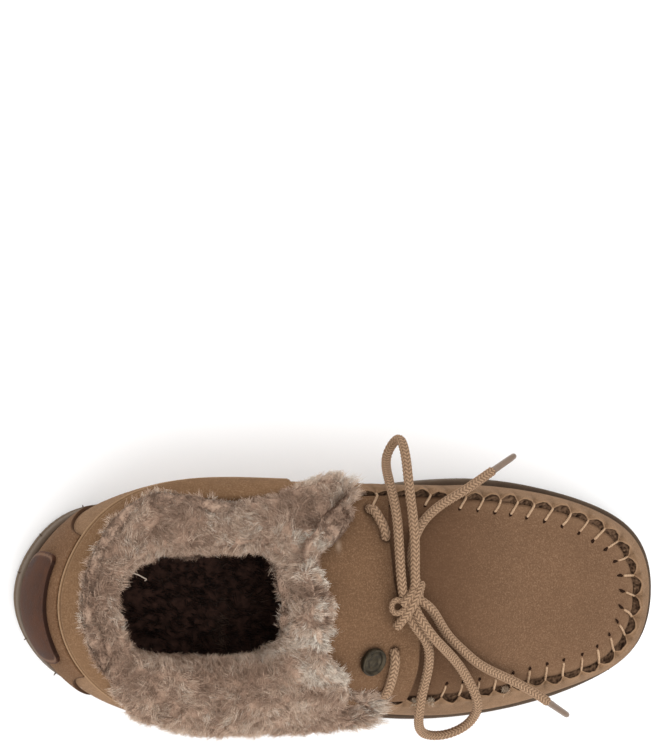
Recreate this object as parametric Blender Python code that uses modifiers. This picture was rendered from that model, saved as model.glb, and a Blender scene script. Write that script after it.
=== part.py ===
# House slipper for the right foot: a suede moccasin lined with sheepskin, on a rubber sole.
# The toe points to +X, the inner side of the foot is at +Y, and the sole stands on z = 0.
import math
from collections import namedtuple

import bmesh
import bpy
import numpy as np
from mathutils import Vector

mm = 0.001

# Driving sizes
SOLE_LENGTH = 285 * mm
BALL_WIDTH = 105 * mm
HEEL_HEIGHT = 47 * mm      # back wall, from the sole up to the collar
INSTEP_HEIGHT = 69 * mm    # floor to the top of the saddle's front edge
HEEL_SOLE = 15 * mm
BALL_SOLE = 10 * mm
ARCH_RISE = 4 * mm
TOE_SPRING = 8 * mm
RIM_LEDGE = 3 * mm         # how far the sole stands out round the upper
RIM_GROOVE = 0.9 * mm
WALL = 2.5 * mm
EDGE_ROUND = 0.4 * mm      # crown of the wall's top edge
SEAM_WIDTH = 1.4 * mm      # raised seam round the apron
SEAM_HEIGHT = 1.6 * mm
APRON_WALL = 1.8 * mm
SADDLE_WALL = 2.0 * mm
BAND_WALL = 1.2 * mm
COUNTER_WALL = 1.2 * mm
PATCH_WALL = 1.3 * mm
INSOLE_THICKNESS = 4 * mm
FUR_LOCK = 2.2 * mm
LACE = 4.2 * mm
AGLET = 3.0 * mm
AGLET_LENGTH = 15 * mm
SLOT_ROOM = 1.0 * mm       # room round the lace in a slot of the saddle
BUTTON = 12 * mm
BUTTON_HEIGHT = 2.8 * mm
TREAD_DEPTH = 1.8 * mm
TREAD_WIDTH = 4 * mm
TREAD_PITCH = 12 * mm
GAP = 0.3 * mm             # between pieces that touch
LAP_GAP = 0.45 * mm        # under a curved piece that laps another

# Where the sole's flats begin and end, as shares of its length from the heel
HEEL_END = 0.30
BALL_START = 0.56
BALL_END = 0.76

COLUMNS_PER_STATION = 3
WALL_ROWS = (0, 0.14, 0.28, 0.42, 0.56, 0.70, 0.81, 0.90)   # shares of the wall's height

# One row for each section through the wall, from the heel round the outer side to the toe
# and back along the inner side. along and across place the sole's edge, top_along,
# top_across and top_rise the wall's top edge, and low_belly and high_belly swell the wall.
# They are shares of the sole's length, the ball's width and the heel's height; seam is 1
# where the wall's edge carries the raised seam.
Station = namedtuple(
    "Station", "place along across top_along top_across top_rise low_belly high_belly seam")
STATIONS = [
    Station("heel back", 0.000, -0.010, 0.055, -0.010, 1.00, 0.024, 0.086, 0),
    Station("outer heel corner", 0.030, -0.229, 0.082, -0.205, 1.00, 0.029, 0.095, 0),
    Station("outer heel", 0.107, -0.376, 0.153, -0.343, 0.96, 0.057, 0.124, 0),
    Station("outer rear waist", 0.237, -0.419, 0.254, -0.410, 0.89, 0.067, 0.133, 0),
    Station("outer waist", 0.395, -0.452, 0.395, -0.438, 0.86, 0.038, 0.086, 0),
    Station("outer ball rear", 0.535, -0.505, 0.518, -0.419, 0.83, 0.014, 0.038, 1),
    Station("outer ball", 0.658, -0.519, 0.640, -0.406, 0.76, 0.014, 0.029, 1),
    Station("little toe", 0.798, -0.467, 0.763, -0.358, 0.66, 0.014, 0.029, 1),
    Station("outer toe side", 0.914, -0.352, 0.868, -0.300, 0.56, 0.014, 0.029, 1),
    Station("outer toe corner", 0.981, -0.200, 0.938, -0.176, 0.44, 0.011, 0.029, 1),
    Station("toe tip", 1.000, 0.019, 0.958, 0.014, 0.39, 0.011, 0.029, 1),
    Station("inner toe corner", 0.981, 0.229, 0.939, 0.190, 0.44, 0.011, 0.029, 1),
    Station("big toe", 0.914, 0.371, 0.879, 0.329, 0.57, 0.014, 0.029, 1),
    Station("big toe joint", 0.798, 0.457, 0.774, 0.410, 0.70, 0.014, 0.029, 1),
    Station("inner ball", 0.675, 0.479, 0.658, 0.443, 0.79, 0.014, 0.029, 1),
    Station("inner ball rear", 0.518, 0.433, 0.518, 0.452, 0.86, 0.029, 0.048, 1),
    Station("inner waist", 0.377, 0.371, 0.377, 0.429, 0.88, 0.076, 0.114, 0),
    Station("inner rear waist", 0.237, 0.352, 0.237, 0.410, 0.89, 0.095, 0.152, 0),
    Station("inner heel", 0.107, 0.348, 0.135, 0.343, 0.96, 0.067, 0.133, 0),
    Station("inner heel corner", 0.030, 0.210, 0.075, 0.190, 1.00, 0.029, 0.095, 0),
]
TOE = 10                   # the station at the toe tip

# Side of the sole, from the tread up to the ledge: how far in from the outline, and the
# share of the sole's thickness
SoleRing = namedtuple("SoleRing", "place inset height")
SOLE_SIDE = [
    SoleRing("tread edge", 0.70 * RIM_LEDGE, 0.00),
    SoleRing("lower side", 0.20 * RIM_LEDGE, 0.10),
    SoleRing("lower rib", 0, 0.28),
    SoleRing("groove foot", RIM_GROOVE, 0.38),
    SoleRing("groove head", RIM_GROOVE, 0.46),
    SoleRing("upper rib", 0, 0.56),
    SoleRing("rim side", 0, 0.88),
    SoleRing("rim top", 0.25 * RIM_LEDGE, 1.00),
]

# Rise of the instep over the line between the two seams, from the toe back to the collar,
# as a share of its rise at the saddle's front edge
Crown = namedtuple("Crown", "stations_from_toe rise")
CROWN = [
    Crown(0.0, 0.00),
    Crown(1.0, 0.20),
    Crown(2.0, 0.40),
    Crown(3.0, 0.60),
    Crown(4.0, 0.82),
    Crown(5.0, 1.00),
    Crown(6.0, 1.14),
    Crown(7.0, 1.16),
]
CROWN_FULLNESS = 2.3       # 2 is a plain arch, more is flatter on top
CROWN_LEAN = 0.88          # under 1 moves the ridge towards the inner side
APRON_REAR = 5.25          # stations from the toe tip

# Front and rear edges of the saddle, from the outer side to the inner side
SaddleEdge = namedtuple("SaddleEdge", "across front rear")
SADDLE_EDGES = [
    SaddleEdge(0.00, 4.70, 5.95),
    SaddleEdge(0.15, 4.68, 6.05),
    SaddleEdge(0.30, 4.70, 6.10),
    SaddleEdge(0.42, 4.80, 6.12),
    SaddleEdge(0.50, 4.98, 6.12),
    SaddleEdge(0.60, 5.06, 6.10),
    SaddleEdge(0.80, 5.08, 6.05),
    SaddleEdge(1.00, 5.00, 5.95),
]
SADDLE_EDGE_ROOM = 1.0 * mm

# The collar's binding runs round the heel between these stations, above this share of the wall
BAND_REACH = 3.95
BAND_FOOT = 0.76

# Outlines of the pieces laid on the heel, from their foot to their top: the share of the
# wall's height, and the stations at their outer and inner ends
OverlayRow = namedtuple("OverlayRow", "height outer inner")
COUNTER_ROWS = [
    OverlayRow(0.03, 2.10, -2.05),
    OverlayRow(0.14, 2.02, -1.96),
    OverlayRow(0.28, 1.78, -1.74),
    OverlayRow(0.42, 1.48, -1.44),
    OverlayRow(0.56, 1.28, -1.24),
    OverlayRow(0.70, 1.22, -1.18),
]
PATCH_ROWS = [
    OverlayRow(0.14, 0.78, -0.62),
    OverlayRow(0.19, 0.93, -0.74),
    OverlayRow(0.28, 0.98, -0.80),
    OverlayRow(0.42, 0.98, -0.80),
    OverlayRow(0.56, 0.93, -0.76),
    OverlayRow(0.61, 0.82, -0.66),
]

# The fur cuff, one row for each section round the opening. in_along, in_across and in_low
# place the foot of its inner side, out_along, out_across and out_low that of its outer
# side, and crest and edge are the heights of its crest and of its outer shoulder over the
# floor. Lengths are shares of the sole's length, the ball's width and the instep's height.
FurRow = namedtuple(
    "FurRow", "place in_along in_across in_low out_along out_across out_low crest edge")
FUR_ROWS = [
    FurRow("heel", 0.114, 0.000, 0.55, 0.056, -0.010, 0.93, 1.00, 0.99),
    FurRow("outer heel corner", 0.126, -0.120, 0.55, 0.080, -0.205, 0.93, 1.00, 0.99),
    FurRow("outer heel", 0.162, -0.175, 0.54, 0.126, -0.415, 0.70, 1.01, 0.96),
    FurRow("outer rear", 0.235, -0.185, 0.53, 0.230, -0.522, 0.50, 1.01, 0.92),
    FurRow("outer side", 0.296, -0.180, 0.53, 0.350, -0.536, 0.46, 1.03, 0.90),
    FurRow("outer front", 0.318, -0.150, 0.58, 0.450, -0.528, 0.50, 1.10, 0.86),
    FurRow("outer corner", 0.328, -0.105, 0.72, 0.512, -0.430, 0.66, 1.19, 0.86),
    FurRow("front outer", 0.333, -0.045, 0.84, 0.425, -0.170, 0.98, 1.27, 1.16),
    FurRow("front middle", 0.333, 0.035, 0.86, 0.408, 0.040, 1.04, 1.30, 1.24),
    FurRow("front inner", 0.328, 0.110, 0.84, 0.398, 0.230, 1.00, 1.24, 1.16),
    FurRow("inner corner", 0.312, 0.160, 0.72, 0.470, 0.410, 0.74, 1.14, 0.92),
    FurRow("inner front", 0.285, 0.185, 0.60, 0.410, 0.528, 0.68, 1.04, 0.94),
    FurRow("inner side", 0.240, 0.195, 0.54, 0.300, 0.440, 0.84, 0.99, 0.94),
    FurRow("inner rear", 0.190, 0.190, 0.54, 0.170, 0.375, 0.89, 0.98, 0.95),
    FurRow("inner heel corner", 0.130, 0.120, 0.55, 0.082, 0.215, 0.92, 1.00, 0.98),
]
# Outline of one section of the cuff: share of the way out, and the level between the low
# edge and the top of its own side
FurPoint = namedtuple("FurPoint", "out level side")
FUR_OUTLINE = [
    FurPoint(0.10, 0.00, "inner"),
    FurPoint(0.01, 0.20, "inner"),
    FurPoint(0.00, 0.45, "inner"),
    FurPoint(0.02, 0.70, "inner"),
    FurPoint(0.11, 0.90, "inner"),
    FurPoint(0.26, 1.00, "inner"),
    FurPoint(0.44, 0.98, "between"),
    FurPoint(0.62, 0.97, "between"),
    FurPoint(0.79, 1.00, "outer"),
    FurPoint(0.92, 0.86, "outer"),
    FurPoint(1.00, 0.55, "outer"),
    FurPoint(0.99, 0.20, "outer"),
    FurPoint(0.90, 0.00, "outer"),
    FurPoint(0.62, 0.00, "under"),
    FurPoint(0.34, 0.00, "under"),
]
FUR_COLUMNS = 48

# The button and the slots of the two bars of lace: stations from the toe tip, and the share
# of the way across
BUTTON_SPOT = (5.32, 0.24)
OUTER_BAR_ENDS = [(5.06, 0.06), (5.03, 0.27)]
INNER_BAR_ENDS = [(5.26, 0.93), (5.13, 0.80)]
# Share of the way between a bar's two slots, and its height over the saddle
BAR_SHAPE = [(0, 0), (0.03, 0.7), (0.16, 1.15), (0.5, 1.2), (0.84, 1.15), (0.97, 0.7), (1, 0)]

# The bow: middle and half sizes of its knot, and the routes of its loops and ends in mm,
# from the knot outwards, over the apron and seam and down the sides
KNOT_PLACE = (8.5 * mm, 1.5 * mm, 73.3 * mm)
KNOT_SIZE = (7.0 * mm, 8.0 * mm, 4.7 * mm)
LACE_ROUTES = {
    "lace_loop_inner": [
        (10, 9.9, 73.6), (9.6, 18, 74), (9.6, 27, 73), (9.4, 38, 70), (9.4, 47.5, 65.5),
        (9.8, 57, 60.5), (10.2, 64.5, 55), (10.2, 68.3, 48.5), (9, 65.5, 42.5), (7, 59.5, 42),
        (5, 53.5, 50), (3.8, 47.8, 58.5), (3.4, 38, 67), (3.2, 27, 71.6), (3.6, 17, 73.2),
        (4.3, 9.9, 73.6)],
    "lace_loop_outer": [
        (10.5, -6.9, 72.4), (15.5, -12.5, 70.8), (19.4, -19, 67), (20.6, -27.5, 62.6),
        (20.6, -36.5, 57.4), (21.5, -46, 51.5), (25, -53.5, 42.5), (31, -57.5, 36),
        (39.5, -58, 34), (46.5, -54.5, 37.5), (49, -49, 44), (47.5, -42, 51.5),
        (42, -33.5, 56.5), (34.5, -25, 62), (26, -18, 69), (18.5, -12.3, 75.2), (14, -7, 76.8)],
    "lace_end_inner": [
        (12.4, 8.4, 69.7), (11, 17, 67.2), (11.6, 24, 65), (14.5, 30.5, 62.1), (20.5, 37, 58.5),
        (29, 42.5, 55.2), (38, 47.5, 53.7), (46, 52, 51), (52.5, 55.5, 48)],
    "lace_end_outer": [
        (16.5, 0.6, 72.4), (21.3, -4, 69.2), (28, -11.8, 64.8), (36.5, -18.9, 61),
        (46, -25.4, 56.9), (57.5, -30.6, 52.2), (68, -35.2, 48.8), (76.5, -39.6, 46.4),
        (82.5, -43, 43.6)],
}


# Curves and tables

def closed_spline(values, spots):
    """Smooth closed curve through a column of a table, read at fractional row numbers."""
    values = np.asarray(values, float)
    unit = np.eye(len(values))
    spread = 4 * unit + np.roll(unit, 1, 0) + np.roll(unit, -1, 0)
    slopes = np.linalg.solve(spread, 3 * (np.roll(values, -1, 0) - np.roll(values, 1, 0)))
    return between_rows(values, slopes, spots, closed=True)


def open_spline(values, spots):
    """Smooth open curve through rows of values, read at fractional row numbers."""
    values = np.asarray(values, float)
    count = len(values)
    spread = 4 * np.eye(count) + np.eye(count, k=1) + np.eye(count, k=-1)
    spread[0, 0] = spread[-1, -1] = 2
    pull = np.empty_like(values)
    pull[1:-1] = 3 * (values[2:] - values[:-2])
    pull[0] = 3 * (values[1] - values[0])
    pull[-1] = 3 * (values[-1] - values[-2])
    return between_rows(values, np.linalg.solve(spread, pull), spots, closed=False)


def between_rows(values, slopes, spots, closed):
    spots = np.asarray(spots, float)
    count = len(values)
    if closed:
        row = np.floor(spots).astype(int)
        share = spots - row
        here, after = row % count, (row + 1) % count
    else:
        here = np.clip(np.floor(spots).astype(int), 0, count - 2)
        share = spots - here
        after = here + 1
    if values.ndim > 1:
        share = share[..., None]
    near, far = 1 - share, share
    return (values[here] * near * near * (1 + 2 * far)
            + values[after] * far * far * (1 + 2 * near)
            + slopes[here] * near * near * far
            - slopes[after] * far * far * near)


def column(table, name, spots):
    return closed_spline([getattr(row, name) for row in table], spots)


def eased(start, end, share):
    share = np.clip(share, 0, 1)
    return start + (end - start) * share * share * (3 - 2 * share)


def along_x(share):
    return (share - 0.5) * SOLE_LENGTH


def points(x, y, z):
    return np.stack(np.broadcast_arrays(x, y, z), axis=-1).astype(float)


def plan_normal(curve, spots):
    """Outward direction in the floor's plane of a closed curve that runs anticlockwise."""
    step = 0.01
    ahead = curve(spots + step) - curve(spots - step)
    ahead /= np.linalg.norm(ahead[..., :2], axis=-1, keepdims=True)
    return points(ahead[..., 1], -ahead[..., 0], 0)


# The sole's form

def ground(x):
    """Underside of the sole: flat heel, hollow arch, flat ball, rising toe."""
    along = x / SOLE_LENGTH + 0.5
    arch = np.clip((along - HEEL_END) / (BALL_START - HEEL_END), 0, 1)
    toe = np.clip((along - BALL_END) / (1 - BALL_END), 0, None)
    return ARCH_RISE * np.sin(math.pi * arch) ** 2 + TOE_SPRING * toe ** 1.6


def deck(x):
    """Top of the sole, which the upper and the insole rest on."""
    along = x / SOLE_LENGTH + 0.5
    toe = np.clip((along - BALL_END) / (1 - BALL_END), 0, None)
    body = eased(HEEL_SOLE, BALL_SOLE, (along - HEEL_END) / (BALL_START - HEEL_END))
    return body + TOE_SPRING * toe ** 1.6


def sole_edge(spots):
    return points(along_x(column(STATIONS, "along", spots)),
                  BALL_WIDTH * column(STATIONS, "across", spots), 0)


def sole_outline(spots, inset):
    return sole_edge(spots) - inset * plan_normal(sole_edge, spots)


# The upper's form

def wall_base(spots, height):
    """Outer surface of the upper: height 0 is the sole, 1 the wall's top edge."""
    foot = sole_outline(spots, RIM_LEDGE)
    foot[..., 2] = deck(foot[..., 0]) + GAP
    outward = plan_normal(sole_edge, spots)
    top = points(along_x(column(STATIONS, "top_along", spots)),
                 BALL_WIDTH * column(STATIONS, "top_across", spots), 0)
    top[..., 2] = deck(top[..., 0]) + GAP + HEEL_HEIGHT * column(STATIONS, "top_rise", spots)
    rise = points(0, 0, top[..., 2] - foot[..., 2])
    low = BALL_WIDTH * column(STATIONS, "low_belly", spots)[..., None]
    high = BALL_WIDTH * column(STATIONS, "high_belly", spots)[..., None]
    low_pull = foot + outward * low + 0.38 * rise
    high_pull = top + outward * high - 0.30 * rise
    share = np.asarray(height, float)[..., None]
    rest = 1 - share
    return (foot * rest ** 3 + low_pull * 3 * rest ** 2 * share
            + high_pull * 3 * rest * share ** 2 + top * share ** 3)


def wall_normal(spots, height):
    step = 0.01
    around = wall_base(spots + step, height) - wall_base(spots - step, height)
    upward = wall_base(spots, height + step) - wall_base(spots, height - step)
    normal = np.cross(around, upward)
    return normal / np.linalg.norm(normal, axis=-1, keepdims=True)


def wall(spots, height, lift=0.0, beyond=0.0):
    """Point on the wall, moved out of it by lift and further up its slope by beyond."""
    spots, height, lift, beyond = np.broadcast_arrays(
        *(np.asarray(value, float) for value in (spots, height, lift, beyond)))
    upward = wall_base(spots, height) - wall_base(spots, height - 0.01)
    upward /= np.linalg.norm(upward, axis=-1, keepdims=True)
    return (wall_base(spots, height) + wall_normal(spots, height) * lift[..., None]
            + upward * beyond[..., None])


def crown_rise(back):
    return open_spline([row.rise for row in CROWN], back)


def seam_edge(spots, inset):
    return wall(spots, 1.0, -(WALL + inset))


def chord_middle(back):
    ends = wall(np.array([TOE - back, TOE + back]), 1.0)
    return ends[:, 2].mean()


def instep(back, across, lift=0.0, inset=GAP):
    """Surface over the toes and instep, back in stations from the toe tip."""
    back, across = np.broadcast_arrays(np.asarray(back, float), np.asarray(across, float))
    outer = seam_edge(TOE - back, inset)
    inner = seam_edge(TOE + back, inset)
    place = outer + (inner - outer) * across[..., None]
    full_rise = INSTEP_HEIGHT - SADDLE_WALL - chord_middle(5.0)
    lean = np.clip(across, 0, 1) ** CROWN_LEAN
    arch = 1 - np.abs(2 * lean - 1) ** CROWN_FULLNESS
    place[..., 2] += full_rise * crown_rise(back) * arch + lift
    return place


def saddle_edge(name, across):
    marks = [row.across for row in SADDLE_EDGES]
    spots = np.interp(across, marks, np.arange(len(marks)))
    return open_spline([getattr(row, name) for row in SADDLE_EDGES], spots)


# Meshes

def mesh_object(name, vertices, faces, collection):
    mesh = bpy.data.meshes.new(name)
    mesh.from_pydata([tuple(vertex) for vertex in vertices], [], faces)
    piece = bpy.data.objects.new(name, mesh)
    collection.objects.link(piece)
    clean(mesh)
    return piece


def clean(mesh):
    body = bmesh.new()
    body.from_mesh(mesh)
    bmesh.ops.remove_doubles(body, verts=body.verts, dist=0.01 * mm)
    bmesh.ops.recalc_face_normals(body, faces=body.faces)
    body.to_mesh(mesh)
    body.free()


def grid_faces(rows, columns, close_rows=False, close_columns=False):
    """Faces of a grid of points, numbered row after row."""
    faces = []
    for row in range(rows if close_rows else rows - 1):
        for col in range(columns if close_columns else columns - 1):
            next_row, next_col = (row + 1) % rows, (col + 1) % columns
            faces.append((row * columns + col, next_row * columns + col,
                          next_row * columns + next_col, row * columns + next_col))
    return faces


def ring_solid(name, sections, collection):
    """Solid ring through closed sections that run round the shoe."""
    rows, columns = sections.shape[:2]
    faces = grid_faces(rows, columns, close_rows=True, close_columns=True)
    return mesh_object(name, sections.reshape(-1, 3), faces, collection)


def sheet(name, grid, thickness, collection, facing_up=True):
    """Open surface with Solidify, which thickens it above (or outside) or else below."""
    rows, columns = grid.shape[:2]
    piece = mesh_object(name, grid.reshape(-1, 3), grid_faces(rows, columns), collection)
    face_outwards(piece, facing_up)
    solidify = piece.modifiers.new("thickness", "SOLIDIFY")
    solidify.thickness = abs(thickness)
    solidify.offset = 1 if thickness > 0 else -1
    solidify.use_even_offset = True
    return piece


def face_outwards(piece, facing_up):
    """Turns an open surface so that its faces look up, or away from the shoe's middle."""
    body = bmesh.new()
    body.from_mesh(piece.data)
    bmesh.ops.recalc_face_normals(body, faces=body.faces)
    total = 0.0
    for face in body.faces:
        centre = face.calc_center_median()
        away = Vector((0, 0, 1)) if facing_up else Vector((centre.x, centre.y, 0))
        total += face.normal.dot(away) * face.calc_area()
    if total < 0:
        bmesh.ops.reverse_faces(body, faces=body.faces)
    body.to_mesh(piece.data)
    body.free()


def fill_across(faces, count, across, ring_start, inner_start):
    """Faces that close a ring of 2 * count points with strips from side to side."""
    def spot(strip, step):
        if step == 0 or strip in (0, count):
            return ring_start + strip
        if step == across:
            return ring_start + 2 * count - strip
        return inner_start + (strip - 1) * (across - 1) + step - 1
    for strip in range(count):
        for step in range(across):
            corners = [spot(strip, step), spot(strip + 1, step),
                       spot(strip + 1, step + 1), spot(strip, step + 1)]
            faces.append(tuple(dict.fromkeys(corners)))


def inner_points(ring, across, level):
    """Points of the strips that close a ring, set to the height that level gives."""
    count = len(ring) // 2
    inside = []
    for strip in range(1, count):
        for step in range(1, across):
            point = ring[strip] + (ring[2 * count - strip] - ring[strip]) * step / across
            point[2] = level(point[0])
            inside.append(point)
    return np.array(inside)


def slab(name, rings, low, high, collection, across=4):
    """Solid between stacked rings, closed by the surfaces low and high."""
    size = len(rings[0])
    faces = grid_faces(len(rings), size, close_columns=True)
    bottom = inner_points(rings[0], across, low)
    top = inner_points(rings[-1], across, high)
    vertices = np.concatenate([*rings, bottom, top])
    start = len(rings) * size
    fill_across(faces, size // 2, across, 0, start)
    fill_across(faces, size // 2, across, start - size, start + len(bottom))
    return mesh_object(name, vertices, faces, collection)


def cut(piece, cutter, solver="EXACT"):
    boolean = piece.modifiers.new("cut by " + cutter.name, "BOOLEAN")
    boolean.operation = "DIFFERENCE"
    boolean.solver = solver
    boolean.object = cutter
    cutter.hide_render = True
    cutter.display_type = "WIRE"


def apply_modifiers(piece):
    view = bpy.context.evaluated_depsgraph_get()
    mesh = bpy.data.meshes.new_from_object(piece.evaluated_get(view))
    piece.modifiers.clear()
    piece.data = mesh


def keep_largest(piece):
    """Leaves only the largest of the bodies that a cut has made."""
    body = bmesh.new()
    body.from_mesh(piece.data)
    unseen = set(body.faces)
    bodies = []
    while unseen:
        reached = [unseen.pop()]
        for face in reached:
            for edge in face.edges:
                for other in edge.link_faces:
                    if other in unseen:
                        unseen.remove(other)
                        reached.append(other)
        bodies.append(reached)
    bodies.sort(key=len)
    for small in bodies[:-1]:
        bmesh.ops.delete(body, geom=small, context="FACES")
    body.to_mesh(piece.data)
    body.free()


def finish_piece(piece, material, smooth_angle=40):
    if piece.type == "MESH":
        piece.data.shade_smooth()
        piece.data.set_sharp_from_angle(angle=math.radians(smooth_angle))
    piece.data.materials.clear()
    piece.data.materials.append(material)


def material(name, red, green, blue, roughness, metallic=0.0):
    """Principled material from a colour on the usual scale of 0 to 255."""
    def linear(value):
        share = value / 255
        return share / 12.92 if share <= 0.04045 else ((share + 0.055) / 1.055) ** 2.4
    finish = bpy.data.materials.new(name)
    finish.use_nodes = True
    shader = finish.node_tree.nodes["Principled BSDF"]
    shader.inputs["Base Color"].default_value = (linear(red), linear(green), linear(blue), 1)
    shader.inputs["Roughness"].default_value = roughness
    shader.inputs["Metallic"].default_value = metallic
    return finish


# Pieces

def around_shoe():
    return np.arange(0, len(STATIONS), 1 / COLUMNS_PER_STATION)


def make_outsole(parts, cutters):
    spots = around_shoe()
    rings = []
    for row in SOLE_SIDE:
        ring = sole_outline(spots, row.inset)
        low, high = ground(ring[:, 0]), deck(ring[:, 0])
        ring[:, 2] = low + (high - low) * row.height
        rings.append(ring)
    outsole = slab("outsole", rings, ground, deck, parts, across=4)
    heel_grooves = make_grooves("heel_grooves", 0.05, HEEL_END - 0.02, 0.50, cutters)
    ball_grooves = make_grooves("ball_grooves", BALL_START + 0.01, BALL_END + 0.06, 0.66, cutters)
    cut(outsole, heel_grooves)
    cut(outsole, ball_grooves)
    finish_piece(outsole, material("sole rubber", 94, 76, 60, 0.75), 30)


def make_grooves(name, start, end, width, cutters):
    """Row of straight grooves across the tread, between two shares of the length."""
    length = (end - start) * SOLE_LENGTH
    count = int(length / TREAD_PITCH)
    body = bmesh.new()
    bmesh.ops.create_cube(body, size=1)
    bmesh.ops.scale(body, verts=body.verts,
                    vec=(TREAD_WIDTH, width * BALL_WIDTH, 2 * TREAD_DEPTH))
    mesh = bpy.data.meshes.new(name)
    body.to_mesh(mesh)
    body.free()
    grooves = bpy.data.objects.new(name, mesh)
    cutters.objects.link(grooves)
    spare = length - (count - 1) * TREAD_PITCH
    grooves.location = (along_x(start) + spare / 2, 0, 0)
    array = grooves.modifiers.new("row", "ARRAY")
    array.count = count
    array.use_relative_offset = False
    array.use_constant_offset = True
    array.constant_offset_displace = (TREAD_PITCH, 0, 0)
    return grooves


def make_insole(parts):
    spots = around_shoe()
    inset = RIM_LEDGE + WALL + 2 * GAP
    low_ring = sole_outline(spots, inset + 0.5 * mm)
    low_ring[:, 2] = deck(low_ring[:, 0]) + GAP
    high_ring = sole_outline(spots, inset + 0.5 * mm)
    high_ring[:, 2] = deck(high_ring[:, 0]) + GAP + INSOLE_THICKNESS
    insole = slab("insole", [low_ring, high_ring], lambda x: deck(x) + GAP,
                  lambda x: deck(x) + GAP + INSOLE_THICKNESS, parts, across=3)
    finish_piece(insole, material("insole pile", 40, 27, 22, 0.95), 30)


def make_upper(parts):
    spots = around_shoe()
    seam = np.clip(column(STATIONS, "seam", spots), 0, 1)
    bead_out, bead_up = SEAM_WIDTH * seam, SEAM_HEIGHT * seam
    section = [wall(spots, height) for height in WALL_ROWS]
    section += [
        wall(spots, 0.95, bead_out),
        wall(spots, 1.0, bead_out, 0.4 * bead_up),
        wall(spots, 1.0, -0.2 * WALL, EDGE_ROUND + bead_up),
        wall(spots, 1.0, -0.8 * WALL, EDGE_ROUND + bead_up),
        wall(spots, 1.0, -WALL),
    ]
    section += [wall(spots, height, -WALL) for height in reversed(WALL_ROWS)]
    upper = ring_solid("upper", np.stack(section, axis=1), parts)
    finish_piece(upper, material("suede", 138, 108, 83, 0.9))


def make_apron(parts):
    back = np.concatenate([[0, 0.12, 0.3, 0.55], np.linspace(0.85, APRON_REAR, 11)])
    across = np.array([0, 0.04, 0.11, 0.22, 0.36, 0.50, 0.64, 0.78, 0.89, 0.96, 1])
    grid = instep(back[:, None], across[None, :])
    apron = sheet("apron", grid, -APRON_WALL, parts)
    finish_piece(apron, material("apron suede", 127, 97, 74, 0.85))


def saddle_grid(across_count, back_count, side, front=0.0, rear=0.0):
    """Grid over the saddle, which stays clear of the wall by side at its two edges."""
    margin = side / BALL_WIDTH
    across = np.linspace(margin, 1 - margin, across_count)
    front_edge = saddle_edge("front", across) - front
    rear_edge = saddle_edge("rear", across) + rear
    steps = np.linspace(0, 1, back_count)[:, None]
    back = front_edge[None, :] + (rear_edge - front_edge)[None, :] * steps
    return back, across[None, :]


def make_saddle(parts, cutters):
    back, across = saddle_grid(15, 7, SADDLE_EDGE_ROOM)
    grid = instep(back, across, lift=LAP_GAP)
    saddle = sheet("saddle", grid, SADDLE_WALL, parts)
    for name, ends in (("outer", OUTER_BAR_ENDS), ("inner", INNER_BAR_ENDS)):
        for index, (back_spot, across_spot) in enumerate(ends):
            cut(saddle, make_slot(f"{name}_slot_{index}", back_spot, across_spot, cutters))
    finish_piece(saddle, material("saddle suede", 125, 95, 71, 0.88))


def make_slot(name, back, across, cutters):
    """Round pin that opens the saddle where a bar of lace goes through it."""
    place = instep(back, across)
    body = bmesh.new()
    radius = LACE / 2 + SLOT_ROOM
    bmesh.ops.create_cone(body, cap_ends=True, segments=12, radius1=radius, radius2=radius,
                          depth=8 * SADDLE_WALL)
    mesh = bpy.data.meshes.new(name)
    body.to_mesh(mesh)
    body.free()
    pin = bpy.data.objects.new(name, mesh)
    pin.location = place
    cutters.objects.link(pin)
    return pin


def make_collar_band(parts):
    spots = np.linspace(-BAND_REACH, BAND_REACH, 27)
    over = EDGE_ROUND + GAP
    path = [wall(spots, height, GAP) for height in (BAND_FOOT, 0.81, 0.90, 0.95)]
    path += [
        wall(spots, 1.0, GAP, 0.3 * over),
        wall(spots, 1.0, -0.25 * WALL, over),
        wall(spots, 1.0, -0.75 * WALL, over),
        wall(spots, 1.0, -(WALL + GAP), 0.3 * over),
        wall(spots, 0.95, -(WALL + GAP)),
    ]
    band = sheet("collar_band", np.stack(path, axis=0), BAND_WALL, parts, facing_up=False)
    finish_piece(band, material("band suede", 137, 106, 80, 0.9))


def make_overlay(name, rows, lift, thickness, columns, parts, finish):
    """Piece laid on the wall, outlined by a table of rows."""
    grid = []
    for row in rows:
        spots = np.linspace(row.inner, row.outer, columns)
        grid.append(wall(spots, row.height, lift))
    overlay = sheet(name, np.stack(grid, axis=0), thickness, parts, facing_up=False)
    finish_piece(overlay, finish)


def fur_sections(columns):
    """Closed sections of the cuff, as an array of points round the opening."""
    spots = np.arange(columns) * len(FUR_ROWS) / columns
    inner = points(along_x(column(FUR_ROWS, "in_along", spots)),
                   BALL_WIDTH * column(FUR_ROWS, "in_across", spots), 0)
    outer = points(along_x(column(FUR_ROWS, "out_along", spots)),
                   BALL_WIDTH * column(FUR_ROWS, "out_across", spots), 0)
    in_low, out_low, crest, edge = (
        INSTEP_HEIGHT * column(FUR_ROWS, name, spots)
        for name in ("in_low", "out_low", "crest", "edge"))
    section = []
    for point in FUR_OUTLINE:
        place = inner + (outer - inner) * point.out
        if point.side == "inner":
            place[:, 2] = in_low + (crest - in_low) * point.level
        elif point.side == "outer":
            place[:, 2] = out_low + (edge - out_low) * point.level
        elif point.side == "between":
            share = (point.out - 0.26) / (0.79 - 0.26)
            place[:, 2] = crest + (edge - crest) * share ** 2
        else:
            place[:, 2] = in_low + (out_low - in_low) * point.out
        section.append(place)
    return np.stack(section, axis=1)


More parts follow.
